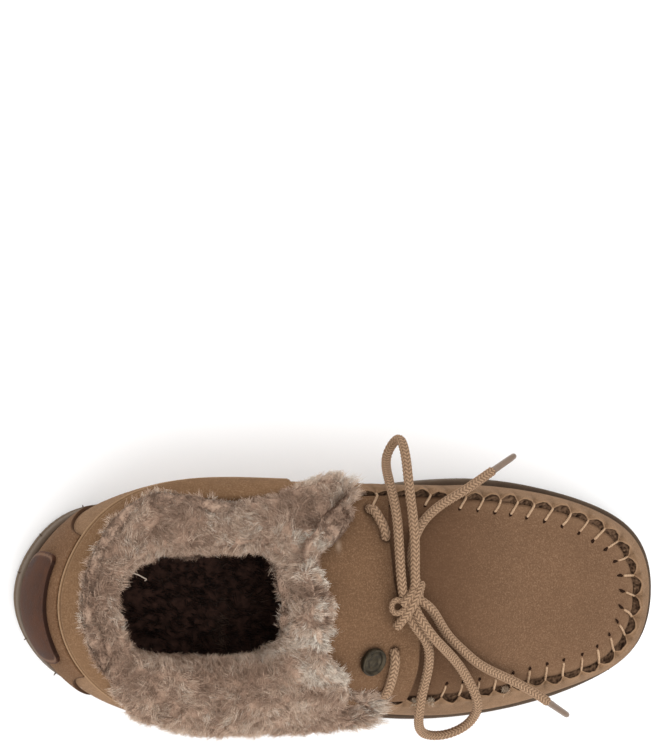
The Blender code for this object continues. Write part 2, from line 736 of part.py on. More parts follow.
def with_locks(sections):
    """Draws every other point of the cuff out into the tip of a lock that hangs a little."""
    rows, columns = sections.shape[:2]
    around = np.roll(sections, -1, 0) - np.roll(sections, 1, 0)
    upward = np.roll(sections, -1, 1) - np.roll(sections, 1, 1)
    normal = np.cross(around, upward)
    normal /= np.linalg.norm(normal, axis=-1, keepdims=True)
    middle = sections.mean(axis=1, keepdims=True)
    outward = np.sign(np.sum(normal * (sections - middle), axis=(0, 1)).sum())
    row, col = np.meshgrid(np.arange(rows), np.arange(columns), indexing="ij")
    shows = np.array([point.side != "under" and point.level > 0.3 for point in FUR_OUTLINE])
    tip = ((row + col) % 2 == 0)[..., None] * shows[None, :, None]
    hang = points(0, 0, -0.35 * FUR_LOCK)
    return sections + tip * (normal * outward * FUR_LOCK + hang)


def make_sleeves(cutters):
    """Thicker copies of the wall and saddle, which clear the fur from them."""
    spots = around_shoe()
    out = GAP + max(BAND_WALL, SEAM_WIDTH) + GAP
    inside = -(WALL + GAP + BAND_WALL + GAP)
    over = EDGE_ROUND + GAP + max(BAND_WALL, SEAM_HEIGHT) + GAP
    section = [wall(spots, height, out) for height in WALL_ROWS]
    section += [wall(spots, 1.0, out, 0.6 * over), wall(spots, 1.0, 0.8 * out, over),
                wall(spots, 1.0, 0.85 * inside, over), wall(spots, 1.0, inside, 0.6 * over)]
    section += [wall(spots, height, inside) for height in reversed(WALL_ROWS)]
    sleeve = ring_solid("wall_sleeve", np.stack(section, axis=1), cutters)
    back, across = saddle_grid(15, 7, 0.0, front=0.3, rear=0.012)
    below = 2 * APRON_WALL
    grid = instep(back, across, lift=-below, inset=0.0)
    saddle_sleeve = sheet("saddle_sleeve", grid, below + LAP_GAP + SADDLE_WALL + GAP, cutters)
    return sleeve, saddle_sleeve


def make_fur_cuff(parts, cutters):
    sections = with_locks(fur_sections(FUR_COLUMNS))
    fur = ring_solid("fur_cuff", sections, parts)
    for sleeve in make_sleeves(cutters):
        cut(fur, sleeve, "MANIFOLD")
    apply_modifiers(fur)
    keep_largest(fur)
    finish_piece(fur, material("sheepskin", 146, 126, 109, 0.95))


def on_saddle(back, across, above):
    """Point over the saddle's outer face, and the direction square to the face there."""
    step = 0.01
    ahead = instep(back - step, across) - instep(back + step, across)
    inward = instep(back, across + step) - instep(back, across - step)
    normal = np.cross(ahead, inward)
    normal /= np.linalg.norm(normal)
    return instep(back, across, lift=LAP_GAP) + normal * (SADDLE_WALL + above), normal


def make_button(parts):
    radius = BUTTON / 2
    profile = [(0, 1.0), (0.30, 1.0), (0.40, 0.84), (0.74, 0.84), (0.84, 1.0), (0.95, 0.80),
               (1.0, 0.45), (0.97, 0.0), (0, 0.0)]
    mesh = bpy.data.meshes.new("button")
    corners = [(radius * out, 0, BUTTON_HEIGHT * up) for out, up in profile]
    edges = [(index, index + 1) for index in range(len(profile) - 1)]
    mesh.from_pydata(corners, edges, [])
    button = bpy.data.objects.new("button", mesh)
    parts.objects.link(button)
    screw = button.modifiers.new("turn", "SCREW")
    screw.steps = screw.render_steps = 16
    screw.use_merge_vertices = True
    screw.merge_threshold = 0.00001
    button.location, normal = on_saddle(*BUTTON_SPOT, GAP)
    button.rotation_euler = Vector(normal).to_track_quat("Z", "Y").to_euler()
    finish_piece(button, material("button bronze", 60, 51, 41, 0.4, 0.9))


def smooth_route(route, count):
    """Even points along a smooth curve through a cord's route."""
    route = np.array(route, float)
    fine = open_spline(route, np.linspace(0, len(route) - 1, 40 * len(route)))
    steps = np.linalg.norm(np.diff(fine, axis=0), axis=1)
    walked = np.concatenate([[0], np.cumsum(steps)])
    marks = np.linspace(0, walked[-1], count)
    return np.stack([np.interp(marks, walked, fine[:, axis]) for axis in range(3)], axis=1)


def tube(name, route, diameter, parts, finish, spacing=2.0):
    """Cord along a smooth curve through its route."""
    length = np.linalg.norm(np.diff(smooth_route(route, 200), axis=0), axis=1).sum()
    spots = smooth_route(route, max(4, int(length / (spacing * diameter)) + 1))
    curve = bpy.data.curves.new(name, "CURVE")
    curve.dimensions = "3D"
    curve.bevel_depth = diameter / 2
    curve.bevel_resolution = 2
    curve.use_fill_caps = True
    spline = curve.splines.new("POLY")
    spline.points.add(len(spots) - 1)
    for point, spot in zip(spline.points, spots):
        point.co = (*spot, 1)
    cord = bpy.data.objects.new(name, curve)
    parts.objects.link(cord)
    curve.materials.append(finish)
    return cord


def make_bow(parts, finish, tip_finish):
    """Knot, loops and ends of the lace, and the tips on its ends."""
    knot = bmesh.new()
    bmesh.ops.create_uvsphere(knot, u_segments=12, v_segments=8, radius=1)
    bmesh.ops.scale(knot, verts=knot.verts, vec=KNOT_SIZE)
    mesh = bpy.data.meshes.new("lace_knot")
    knot.to_mesh(mesh)
    knot.free()
    piece = bpy.data.objects.new("lace_knot", mesh)
    piece.location = KNOT_PLACE
    parts.objects.link(piece)
    finish_piece(piece, finish)
    for name, route in LACE_ROUTES.items():
        tube(name, np.array(route) * mm, LACE, parts, finish)
    for name, cord in (("aglet_inner", "lace_end_inner"), ("aglet_outer", "lace_end_outer")):
        before, end = np.array(LACE_ROUTES[cord][-2:]) * mm
        forward = (end - before) / np.linalg.norm(end - before)
        route = [end + forward * reach for reach in (GAP, AGLET_LENGTH / 2, AGLET_LENGTH)]
        tube(name, route, AGLET, parts, tip_finish)


def make_bars(parts, finish):
    """Bars of lace on the saddle, which dip into a slot at each end."""
    for name, ends in (("lace_bar_outer", OUTER_BAR_ENDS), ("lace_bar_inner", INNER_BAR_ENDS)):
        start, end = (np.array(spot) for spot in ends)
        route = []
        for share, height in BAR_SHAPE:
            spot = start + (end - start) * share
            route.append(on_saddle(*spot, (GAP + LACE / 2) * height)[0])
        tube(name, route, LACE, parts, finish, spacing=0.8)


def main():
    for leftover in list(bpy.data.objects):
        bpy.data.objects.remove(leftover)
    parts = bpy.data.collections.new("house slipper")
    cutters = bpy.data.collections.new("cutters")
    for collection in (parts, cutters):
        bpy.context.scene.collection.children.link(collection)
    make_outsole(parts, cutters)
    make_insole(parts)
    make_upper(parts)
    make_apron(parts)
    make_saddle(parts, cutters)
    make_collar_band(parts)
    make_overlay("heel_counter", COUNTER_ROWS, LAP_GAP, COUNTER_WALL, 21, parts,
                 material("counter suede", 114, 84, 62, 0.9))
    make_overlay("heel_patch", PATCH_ROWS, 2 * LAP_GAP + COUNTER_WALL, PATCH_WALL, 11, parts,
                 material("patch leather", 89, 62, 48, 0.6))
    make_fur_cuff(parts, cutters)
    make_button(parts)
    lace = material("lace cord", 148, 119, 96, 0.85)
    make_bars(parts, lace)
    make_bow(parts, lace, material("aglet plastic", 126, 107, 94, 0.5))


main()
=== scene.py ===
# House slipper for the right foot: suede, sheepskin, a braided lace and a rubber sole.
# The toe points to +X and the inner side of the foot is at +Y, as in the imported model.
import math
import bpy
import numpy as np
from mathutils import Matrix, Vector


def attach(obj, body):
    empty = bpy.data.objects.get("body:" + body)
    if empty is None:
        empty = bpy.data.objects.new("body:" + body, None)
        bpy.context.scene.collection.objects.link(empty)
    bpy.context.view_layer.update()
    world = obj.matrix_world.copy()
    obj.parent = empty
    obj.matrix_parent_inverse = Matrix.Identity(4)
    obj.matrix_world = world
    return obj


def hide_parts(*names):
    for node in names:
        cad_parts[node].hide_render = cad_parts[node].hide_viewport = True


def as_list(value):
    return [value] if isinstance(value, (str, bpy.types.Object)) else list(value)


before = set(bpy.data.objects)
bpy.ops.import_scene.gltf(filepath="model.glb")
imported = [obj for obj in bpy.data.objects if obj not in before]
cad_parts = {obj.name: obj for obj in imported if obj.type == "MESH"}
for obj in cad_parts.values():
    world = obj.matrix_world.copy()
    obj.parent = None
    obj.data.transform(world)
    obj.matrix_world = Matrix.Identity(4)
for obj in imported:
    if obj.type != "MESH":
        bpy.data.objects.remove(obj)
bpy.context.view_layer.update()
mm = 0.001
hairShare = 1.0


# Camera, light and floor

camera = {"lens": 124, "distance": 1.089, "aim": (-0.0144, 0, 0.038), "lean": 18, "turn": 5,
          "aimPixel": (331, 600), "sensor": 36, "picture": (663, 750)}
light = {"key": 7.8, "keySize": 1.4, "keyPlace": (-0.25, -0.70, 1.05), "fill": 1.6,
         "fillSize": 1.1, "fillPlace": (0.5, 0.7, 0.9), "sky": 1.2, "floor": 0.99, "level": 1.22}


def makeCamera():
    lean, turn = math.radians(camera["lean"]), math.radians(camera["turn"])
    back = Vector((-math.sin(lean) * math.cos(turn), math.sin(turn),
                   math.cos(lean) * math.cos(turn)))
    side = (Vector((1, 0, 0)) - back * back.x).normalized()
    frameOf = Matrix((side, back.cross(side), back)).transposed()
    # the camera looks past its aim, so that the aim lies at its own pixel of the photo
    wide, tall = camera["picture"]
    pixels = camera["lens"] / camera["sensor"] * tall
    ray = Vector(((camera["aimPixel"][0] - wide / 2) / pixels,
                  -(camera["aimPixel"][1] - tall / 2) / pixels, -1)).normalized()
    swing = ray.rotation_difference(Vector((0, 0, -1))).to_matrix()
    lensData = bpy.data.cameras.new("camera")
    lensData.lens = camera["lens"]
    lensData.clip_start, lensData.clip_end = 0.05, 20
    eye = bpy.data.objects.new("camera", lensData)
    bpy.context.scene.collection.objects.link(eye)
    place = (frameOf @ swing).to_4x4()
    place.translation = Vector(camera["aim"]) + back * camera["distance"]
    eye.matrix_world = place
    bpy.context.scene.camera = eye


def addLamp(name):
    lamp = bpy.data.lights.new(name + " light", "AREA")
    lamp.shape, lamp.size, lamp.energy = "DISK", light[name + "Size"], light[name]
    holder = bpy.data.objects.new(name + " light", lamp)
    bpy.context.scene.collection.objects.link(holder)
    place = Vector(light[name + "Place"])
    holder.location = place
    holder.rotation_euler = (Vector((0, 0, 0.03)) - place).to_track_quat("-Z", "Y").to_euler()


def makeStudio():
    world = bpy.data.worlds.new("sky")
    world.use_nodes = True
    sky = world.node_tree.nodes["Background"]
    sky.inputs["Color"].default_value = (1, 1, 1, 1)
    sky.inputs["Strength"].default_value = light["sky"]
    bpy.context.scene.world = world
    bpy.context.scene.view_settings.view_transform = "Standard"
    addLamp("key")
    addLamp("fill")
    floorMesh = bpy.data.meshes.new("floor")
    reach = 3.0
    floorMesh.from_pydata([(-reach, -reach, 0), (reach, -reach, 0), (reach, reach, 0),
                           (-reach, reach, 0)], [], [(0, 1, 2, 3)])
    floor = bpy.data.objects.new("floor", floorMesh)
    bpy.context.scene.collection.objects.link(floor)
    paint = bpy.data.materials.new("pale floor")
    paint.use_nodes = True
    shader = paint.node_tree.nodes["Principled BSDF"]
    shader.inputs["Base Color"].default_value = (light["floor"],) * 3 + (1,)
    shader.inputs["Roughness"].default_value = 0.9
    floorMesh.materials.append(paint)


makeCamera()
makeStudio()
print("camera and studio")


# Curves

def closedSpline(values, spots):
    # a smooth curve through the values, read at places between their numbers
    values = np.asarray(values, float)
    flat = values.reshape(len(values), -1)
    unit = np.eye(len(values))
    spread = 4 * unit + np.roll(unit, 1, 0) + np.roll(unit, -1, 0)
    slopes = np.linalg.solve(spread, 3 * (np.roll(flat, -1, 0) - np.roll(flat, 1, 0)))
    return betweenRows(values, slopes.reshape(values.shape), spots, True)


def openSpline(values, spots):
    values = np.asarray(values, float)
    flat = values.reshape(len(values), -1)
    count = len(values)
    spread = 4 * np.eye(count) + np.eye(count, k=1) + np.eye(count, k=-1)
    spread[0, 0] = spread[-1, -1] = 2
    pull = np.empty_like(flat)
    pull[1:-1] = 3 * (flat[2:] - flat[:-2])
    pull[0], pull[-1] = 3 * (flat[1] - flat[0]), 3 * (flat[-1] - flat[-2])
    slopes = np.linalg.solve(spread, pull)
    return betweenRows(values, slopes.reshape(values.shape), spots, False)


def betweenRows(values, slopes, spots, closed):
    spots = np.asarray(spots, float)
    count = len(values)
    if closed:
        row = np.floor(spots).astype(int)
        far = spots - row
        here, after = row % count, (row + 1) % count
    else:
        here = np.clip(np.floor(spots).astype(int), 0, count - 2)
        far, after = spots - here, here + 1
    far = far.reshape(far.shape + (1,) * (values.ndim - 1))
    near = 1 - far
    return (values[here] * near * near * (1 + 2 * far) + values[after] * far * far * (1 + 2 * near)
            + slopes[here] * near * near * far - slopes[after] * far * far * near)


def eased(low, high, value):
    share = np.clip((value - low) / (high - low), 0, 1)
    return share * share * (3 - 2 * share)


def points(x, y, z):
    return np.stack(np.broadcast_arrays(x, y, z), axis=-1).astype(float)


def unit(vectors):
    return vectors / np.maximum(np.linalg.norm(vectors, axis=-1, keepdims=True), 1e-12)


def bell(value, width, power=2):
    # 1 at zero, falling off to both sides
    return np.exp(-(value / width) ** power)


def walkAlong(path):
    return np.concatenate([[0], np.cumsum(np.linalg.norm(np.diff(path, axis=0), axis=1))])


def waves(place, length, seed):
    # soft noise of about this wavelength, from -1 to 1
    draw = np.random.default_rng(seed)
    total = np.zeros(place.shape[:-1])
    count = 10
    for _ in range(count):
        direction = unit(draw.normal(size=3)) * 2 * math.pi / (length * draw.uniform(0.7, 1.5))
        total += np.sin(place @ direction + draw.uniform(0, 2 * math.pi))
    return total / math.sqrt(count) / 1.4


# The forms of the sole and the upper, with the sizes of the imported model

form = {"soleLength": 285 * mm, "ballWidth": 105 * mm, "heelHeight": 47 * mm,
        "instepHeight": 69 * mm, "heelSole": 15 * mm, "ballSole": 10 * mm, "archRise": 4 * mm,
        "toeSpring": 8 * mm, "rimLedge": 3 * mm, "wall": 2.5 * mm, "saddleWall": 2.0 * mm,
        "gap": 0.3 * mm, "lapGap": 0.45 * mm, "heelEnd": 0.30, "ballStart": 0.56,
        "ballEnd": 0.76, "crownFullness": 2.3, "crownLean": 0.88, "apronRear": 5.25, "toe": 10,
        "chordAt": 5.0}

# From the heel's back round the outer side to the toe, and back along the inner side
wallTable = {
    "along": [0, .030, .107, .237, .395, .535, .658, .798, .914, .981, 1.0, .981, .914, .798,
              .675, .518, .377, .237, .107, .030],
    "across": [-.010, -.229, -.376, -.419, -.452, -.505, -.519, -.467, -.352, -.200, .019, .229,
               .371, .457, .479, .433, .371, .352, .348, .210],
    "topAlong": [.055, .082, .153, .254, .395, .518, .640, .763, .868, .938, .958, .939, .879,
                 .774, .658, .518, .377, .237, .135, .075],
    "topAcross": [-.010, -.205, -.343, -.410, -.438, -.419, -.406, -.358, -.300, -.176, .014,
                  .190, .329, .410, .443, .452, .429, .410, .343, .190],
    "topRise": [1.0, 1.0, .96, .89, .86, .83, .76, .66, .56, .44, .39, .44, .57, .70, .79, .86,
                .88, .89, .96, 1.0],
    "lowBelly": [.024, .029, .057, .067, .038, .014, .014, .014, .014, .011, .011, .011, .014,
                 .014, .014, .029, .076, .095, .067, .029],
    "highBelly": [.086, .095, .124, .133, .086, .038, .029, .029, .029, .029, .029, .029, .029,
                  .029, .029, .048, .114, .152, .133, .095],
    "seam": [0, 0, 0, 0, 0, 1, 1, 1, 1, 1, 1, 1, 1, 1, 1, 1, 0, 0, 0, 0]}
stations = len(wallTable["along"])
crownRise = [0, .20, .40, .60, .82, 1.0, 1.14, 1.16]
saddleTable = {"across": [0, .15, .30, .42, .50, .60, .80, 1.0],
               "front": [4.70, 4.68, 4.70, 4.80, 4.98, 5.06, 5.08, 5.00],
               "rear": [5.95, 6.05, 6.10, 6.12, 6.12, 6.10, 6.05, 5.95]}


def fromWall(name, spots):
    return closedSpline(wallTable[name], spots)


def toeRise(along):
    toe = np.clip((along - form["ballEnd"]) / (1 - form["ballEnd"]), 0, None)
    return form["toeSpring"] * toe ** 1.6


def ground(x):
    # underside of the sole
    along = x / form["soleLength"] + 0.5
    arch = np.clip((along - form["heelEnd"]) / (form["ballStart"] - form["heelEnd"]), 0, 1)
    return form["archRise"] * np.sin(math.pi * arch) ** 2 + toeRise(along)


def deck(x):
    # top of the sole
    along = x / form["soleLength"] + 0.5
    body = eased(form["heelEnd"], form["ballStart"], along)
    return (form["heelSole"] + (form["ballSole"] - form["heelSole"]) * body
            + toeRise(along))


def onPlan(along, across):
    # from shares of the sole's length and width to a place on the floor
    return points((along - 0.5) * form["soleLength"], form["ballWidth"] * across, 0)


def soleEdge(spots):
    return onPlan(fromWall("along", spots), fromWall("across", spots))


def outwardOf(spots):
    ahead = unit(soleEdge(spots + 0.01) - soleEdge(spots - 0.01))
    return points(ahead[..., 1], -ahead[..., 0], 0)


def soleOutline(spots, inset):
    return soleEdge(spots) - inset * outwardOf(spots)


def wallBase(spots, height):
    foot = soleOutline(spots, form["rimLedge"])
    foot[..., 2] = deck(foot[..., 0]) + form["gap"]
    outward = outwardOf(spots)
    top = onPlan(fromWall("topAlong", spots), fromWall("topAcross", spots))
    top[..., 2] = (deck(top[..., 0]) + form["gap"]
                   + form["heelHeight"] * fromWall("topRise", spots))
    rise = points(0, 0, top[..., 2] - foot[..., 2])
    low = form["ballWidth"] * fromWall("lowBelly", spots)[..., None]
    high = form["ballWidth"] * fromWall("highBelly", spots)[..., None]
    share = np.asarray(height, float)[..., None]
    rest = 1 - share
    return (foot * rest ** 3 + (foot + outward * low + 0.38 * rise) * 3 * rest ** 2 * share
            + (top + outward * high - 0.30 * rise) * 3 * rest * share ** 2 + top * share ** 3)


def wallNormal(spots, height):
    step = 0.01
    around = wallBase(spots + step, height) - wallBase(spots - step, height)
    upward = wallBase(spots, height + step) - wallBase(spots, height - step)
    return unit(np.cross(around, upward))


def wall(spots, height, lift=0.0, beyond=0.0):
    # a place on the upper's wall, lifted off it outwards or moved on past its height
    spots, height, lift, beyond = np.broadcast_arrays(
        *(np.asarray(value, float) for value in (spots, height, lift, beyond)))
    upward = unit(wallBase(spots, height) - wallBase(spots, height - 0.01))
    return (wallBase(spots, height) + wallNormal(spots, height) * lift[..., None]
            + upward * beyond[..., None])


def seamEdge(spots, inset=form["gap"]):
    return wall(spots, 1.0, -(form["wall"] + inset))


def instep(back, across, lift=0.0, pulled=False):
    # a place on the arched skin over the foot, from the toe back and from outer to inner side
    back, across = np.broadcast_arrays(np.asarray(back, float), np.asarray(across, float))
    outer, inner = (seamEdge(spots, form["gap"] + (apronInset(spots) if pulled else 0))
                    for spots in (form["toe"] - back, form["toe"] + back))
    place = outer + (inner - outer) * across[..., None]
    chordEnds = form["toe"] + form["chordAt"] * np.array([-1, 1])
    chord = wall(chordEnds, 1.0)[:, 2].mean()
    fullRise = form["instepHeight"] - form["saddleWall"] - chord
    lean = np.clip(across, 0, 1) ** form["crownLean"]
    arch = 1 - np.abs(2 * lean - 1) ** form["crownFullness"]
    place[..., 2] += fullRise * openSpline(crownRise, back) * arch + lift
    return place


def instepNormal(back, across):
    step = 0.01
    ahead = instep(back - step, across) - instep(back + step, across)
    inward = instep(back, across + step) - instep(back, across - step)
    return unit(np.cross(ahead, inward))


def onSaddle(back, across, above):
    normal = instepNormal(back, across)
    return instep(back, across, form["lapGap"]) + normal * (form["saddleWall"] + above)


# The line of the seam round the apron, and how far along it each place lies

seam = {"firstStation": 4.55, "lastStation": 15.6,
        "numbers": [-3, 0, 9, 16, 23, 29, 34], "walks": [2, 27, 103, 168, 233, 283, 325],
        "insetSpots": [5.2, 6.2, 7.5, 8.2, 9.2, 10.5, 11.5, 12.3, 15],
        "insets": [1.2, 0.7, 0.1, 0.4, 1.9, 1.4, 1.0, 0.4, 0.4]}
seamSpots = np.linspace(seam["firstStation"], seam["lastStation"], 1500)
seamPlaces = seamEdge(seamSpots)
seamWalk = walkAlong(seamPlaces)


def alongSeam(spots):
    return np.interp(np.asarray(spots) % stations, seamSpots, seamWalk)


def spotAlong(walked):
    return np.interp(walked, seamWalk, seamSpots)


def stitchNumber(walked):
    return np.interp(walked, np.array(seam["walks"]) * mm, seam["numbers"])


def pocketAt(walked):
    # 0 where a stitch pulls the seam in, 1 half way between two stitches
    return np.abs(np.sin(math.pi * stitchNumber(walked)))


def apronInset(spots):
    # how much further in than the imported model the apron's edge is pulled, most at the toe
    return np.interp(spots, seam["insetSpots"], seam["insets"]) * mm


def seamShare(spots):
    return np.clip(fromWall("seam", spots), 0, 1)


# Meshes

shoeMiddle = np.array([0, 0, 25 * mm])


def gridFaces(rows, columns, closeRows=False, closeColumns=False):
    row, col = np.meshgrid(np.arange(rows if closeRows else rows - 1),
                           np.arange(columns if closeColumns else columns - 1), indexing="ij")
    nextRow, nextCol = (row + 1) % rows, (col + 1) % columns
    return np.stack([row * columns + col, nextRow * columns + col,
                     nextRow * columns + nextCol, row * columns + nextCol], -1).reshape(-1, 4)


def addPiece(name, places, faces, look, marks=None, smooth=True, facing=shoeMiddle):
    # marks are values for each point that the look reads; the faces are turned away from facing
    places = np.asarray(places, float).reshape(-1, 3)
    faces = np.asarray(faces, np.int32)
    if facing is not None:
        corner = places[faces] - facing
        outward = np.einsum("ij,ij->i", corner[:, 0], np.cross(
            corner[:, 1] - corner[:, 0], corner[:, 2] - corner[:, 0])).sum()
        if outward < 0:
            faces = faces[:, ::-1]
    mesh = bpy.data.meshes.new(name)
    mesh.vertices.add(len(places))
    mesh.vertices.foreach_set("co", places.astype(np.float32).ravel())
    mesh.loops.add(faces.size)
    mesh.loops.foreach_set("vertex_index", faces.ravel())
    mesh.polygons.add(len(faces))
    mesh.polygons.foreach_set("loop_start", np.arange(0, faces.size, faces.shape[1]))
    mesh.update(calc_edges=True)
    mesh.validate()
    for mark, values in (marks or {}).items():
        layer = mesh.attributes.new(mark, "FLOAT", "POINT")
        layer.data.foreach_set("value", np.asarray(values, np.float32).ravel())
    if smooth:
        mesh.shade_smooth()
    mesh.materials.append(look.material)
    piece = bpy.data.objects.new(name, mesh)
    bpy.context.scene.collection.objects.link(piece)
    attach(piece, "root")
    return piece


def fixFacing(piece):
    mesh = piece.data
    if sum(face.center.dot(face.normal) * face.area for face in mesh.polygons) < 0:
        mesh.flip_normals()


def laidSheet(name, surface, thickness, rows, columns, look, marks=None):
    # a sheet with rounded edges on a surface(u, v, lift); u and v run from 0 to 1
    edge = [0, 0, 0.0, 0.004, 0.012]
    lifts = [-0.3, 0.35, 0.75, 0.93, 1.0]

    def steps(count):
        inner = np.linspace(edge[-1], 1 - edge[-1], count)[1:-1]
        return (np.concatenate([edge, inner, 1 - np.array(edge[::-1])]),
                np.concatenate([lifts, np.ones(count - 2), lifts[::-1]]))
    across, acrossLift = steps(columns)
    down, downLift = steps(rows)
    u, v = np.meshgrid(across, down)
    lift = np.minimum(acrossLift[None, :], downLift[:, None]) * thickness
    places = surface(u, v, lift)
    extra = {key: rule(u, v) for key, rule in (marks or {}).items()}
    return addPiece(name, places, gridFaces(*u.shape), look, extra)


def pathFrames(path):
    ahead = unit(np.gradient(path, axis=0))
    side = np.cross(ahead[0], [0, 0, 1.0])
    if np.linalg.norm(side) < 0.1:
        side = np.cross(ahead[0], [0, 1.0, 0])
    sides = [side / np.linalg.norm(side)]
    for index in range(1, len(path)):
        side = sides[-1] - ahead[index] * np.dot(sides[-1], ahead[index])
        sides.append(side / np.linalg.norm(side))
    sides = np.array(sides)
    return ahead, sides, np.cross(ahead, sides)


def evenRoute(route, spacing):
    # points at even steps on a smooth curve through the route, and how far along each lies
    route = np.asarray(route, float)
    fine = openSpline(route, np.linspace(0, len(route) - 1, 60 * len(route)))
    walked = walkAlong(fine)
    count = max(4, int(round(walked[-1] / spacing)) + 1)
    marks = np.linspace(0, walked[-1], count)
    return np.stack([np.interp(marks, walked, fine[:, axis]) for axis in range(3)], 1), marks


def tubeParts(path, radii, sides):
    # a closed tube; radii is one value for each ring, or one for each ring and side
    _, side, other = pathFrames(path)
    turn = np.arange(sides) * 2 * math.pi / sides
    radii = np.asarray(radii, float)
    radii = radii[:, None] if radii.ndim == 1 else radii
    ring = (np.cos(turn)[None, :, None] * side[:, None, :]
            + np.sin(turn)[None, :, None] * other[:, None, :])
    places = (path[:, None, :] + ring * (radii * np.ones(sides)[None, :])[..., None])
    rows = len(path)
    places = np.concatenate([places.reshape(-1, 3), path[[0, -1]]])
    around = np.arange(sides)
    ahead = (around + 1) % sides
    last = (rows - 1) * sides
    caps = np.concatenate([
        np.stack([np.full(sides, rows * sides), around, ahead], 1),
        np.stack([np.full(sides, rows * sides + 1), last + ahead, last + around], 1)])
    # the ends' triangles are written as quads, with one more point at their middles
    middle = len(places) + np.arange(len(caps))
    extra = (places[caps[:, 1]] + places[caps[:, 2]]) / 2
    quads = np.stack([caps[:, 0], caps[:, 1], middle, caps[:, 2]], 1)
    faces = gridFaces(rows, sides, closeColumns=True)
    return np.concatenate([places, extra]), np.concatenate([faces, quads])


def joinParts(parts):
    # several (places, faces, marks) made one
    places, faces, marks, start = [], [], {}, 0
    for partPlaces, partFaces, partMarks in parts:
        places.append(partPlaces)
        faces.append(np.asarray(partFaces) + start)
        start += len(partPlaces)
        for key, value in partMarks.items():
            marks.setdefault(key, []).append(value)
    return (np.concatenate(places), np.concatenate(faces),
            {key: np.concatenate(value) for key, value in marks.items()})


# Materials

def tint(red, green, blue):
    # the base colour that looks like this under the studio's light
    def linear(value):
        share = value / 255
        share = share / 12.92 if share <= 0.04045 else ((share + 0.055) / 1.055) ** 2.4
        return share / light["level"]
    return (linear(red), linear(green), linear(blue), 1)


class Socket:
    def __init__(self, look, link):
        self.look, self.link = look, link

    def maths(self, operation, first, second):
        return self.look.node("ShaderNodeMath", {"operation": operation}, [first, second])

    def __add__(self, other): return self.maths("ADD", self, other)
    def __radd__(self, other): return self.maths("ADD", other, self)
    def __sub__(self, other): return self.maths("SUBTRACT", self, other)
    def __rsub__(self, other): return self.maths("SUBTRACT", other, self)
    def __mul__(self, other): return self.maths("MULTIPLY", self, other)
    def __rmul__(self, other): return self.maths("MULTIPLY", other, self)


class Look:
    def __init__(self, name, fixed):
        self.material = bpy.data.materials.new(name)
        self.material.use_nodes = True
        self.tree = self.material.node_tree
        self.shader = self.tree.nodes["Principled BSDF"]
        for socket, value in fixed.items():
            self.shader.inputs[socket].default_value = value

    def node(self, kind, settings=None, inputs=(), output=0):
        made = self.tree.nodes.new(kind)
        for key, value in (settings or {}).items():
            if key == "stops":
                ramp = made.color_ramp.elements
                while len(ramp) < len(value):
                    ramp.new(0.5)
                for element, (position, color) in zip(ramp, value):
                    element.position, element.color = position, color
            else:
                setattr(made, key, value)
        pairs = inputs.items() if isinstance(inputs, dict) else enumerate(inputs)
        for key, value in pairs:
            if isinstance(value, Socket):
                self.tree.links.new(value.link, made.inputs[key])
            else:
                made.inputs[key].default_value = value
        return Socket(self, made.outputs[output])

    def place(self, stretch=(1, 1, 1)):
        spot = self.node("ShaderNodeTexCoord", output="Object")
        if stretch == (1, 1, 1):
            return spot
        return self.node("ShaderNodeVectorMath", {"operation": "MULTIPLY"}, [spot, stretch])

    def noise(self, size, detail=3, roughness=0.6, stretch=(1, 1, 1)):
        return self.node("ShaderNodeTexNoise", None, {
            "Vector": self.place(stretch), "Scale": 1 / size, "Detail": detail,
            "Roughness": roughness})

    def cells(self, size):
        return self.node("ShaderNodeTexVoronoi", None,
                         {"Vector": self.place(), "Scale": 1 / size}, "Distance")

    def mark(self, name):
        return self.node("ShaderNodeAttribute", {"attribute_name": name}, output="Fac")

    def clamp(self, value, low, high):
        return self.node("ShaderNodeMapRange", None, [value, low, high, 0.0, 1.0])

    def cloud(self, size, detail=3, roughness=0.6, low=0.3, high=0.7, stretch=(1, 1, 1)):
        # patches of noise that run from 0 to 1
        return self.clamp(self.noise(size, detail, roughness, stretch), low, high)

    def mix(self, share, first, second):
        return self.node("ShaderNodeMix", {"data_type": "RGBA"}, {0: share, 6: first, 7: second}, 2)

    def bump(self, height, depth, strength=1.0, under=None):
        inputs = {"Strength": strength, "Distance": depth, "Height": height}
        if under is not None:
            inputs["Normal"] = under
        return self.node("ShaderNodeBump", None, inputs)

    def feed(self, socket, value):
        self.tree.links.new(value.link, self.shader.inputs[socket])

    def roughen(self, size, depth, strength, detail=2):
        self.feed("Normal", self.bump(self.noise(size, detail), depth, strength))


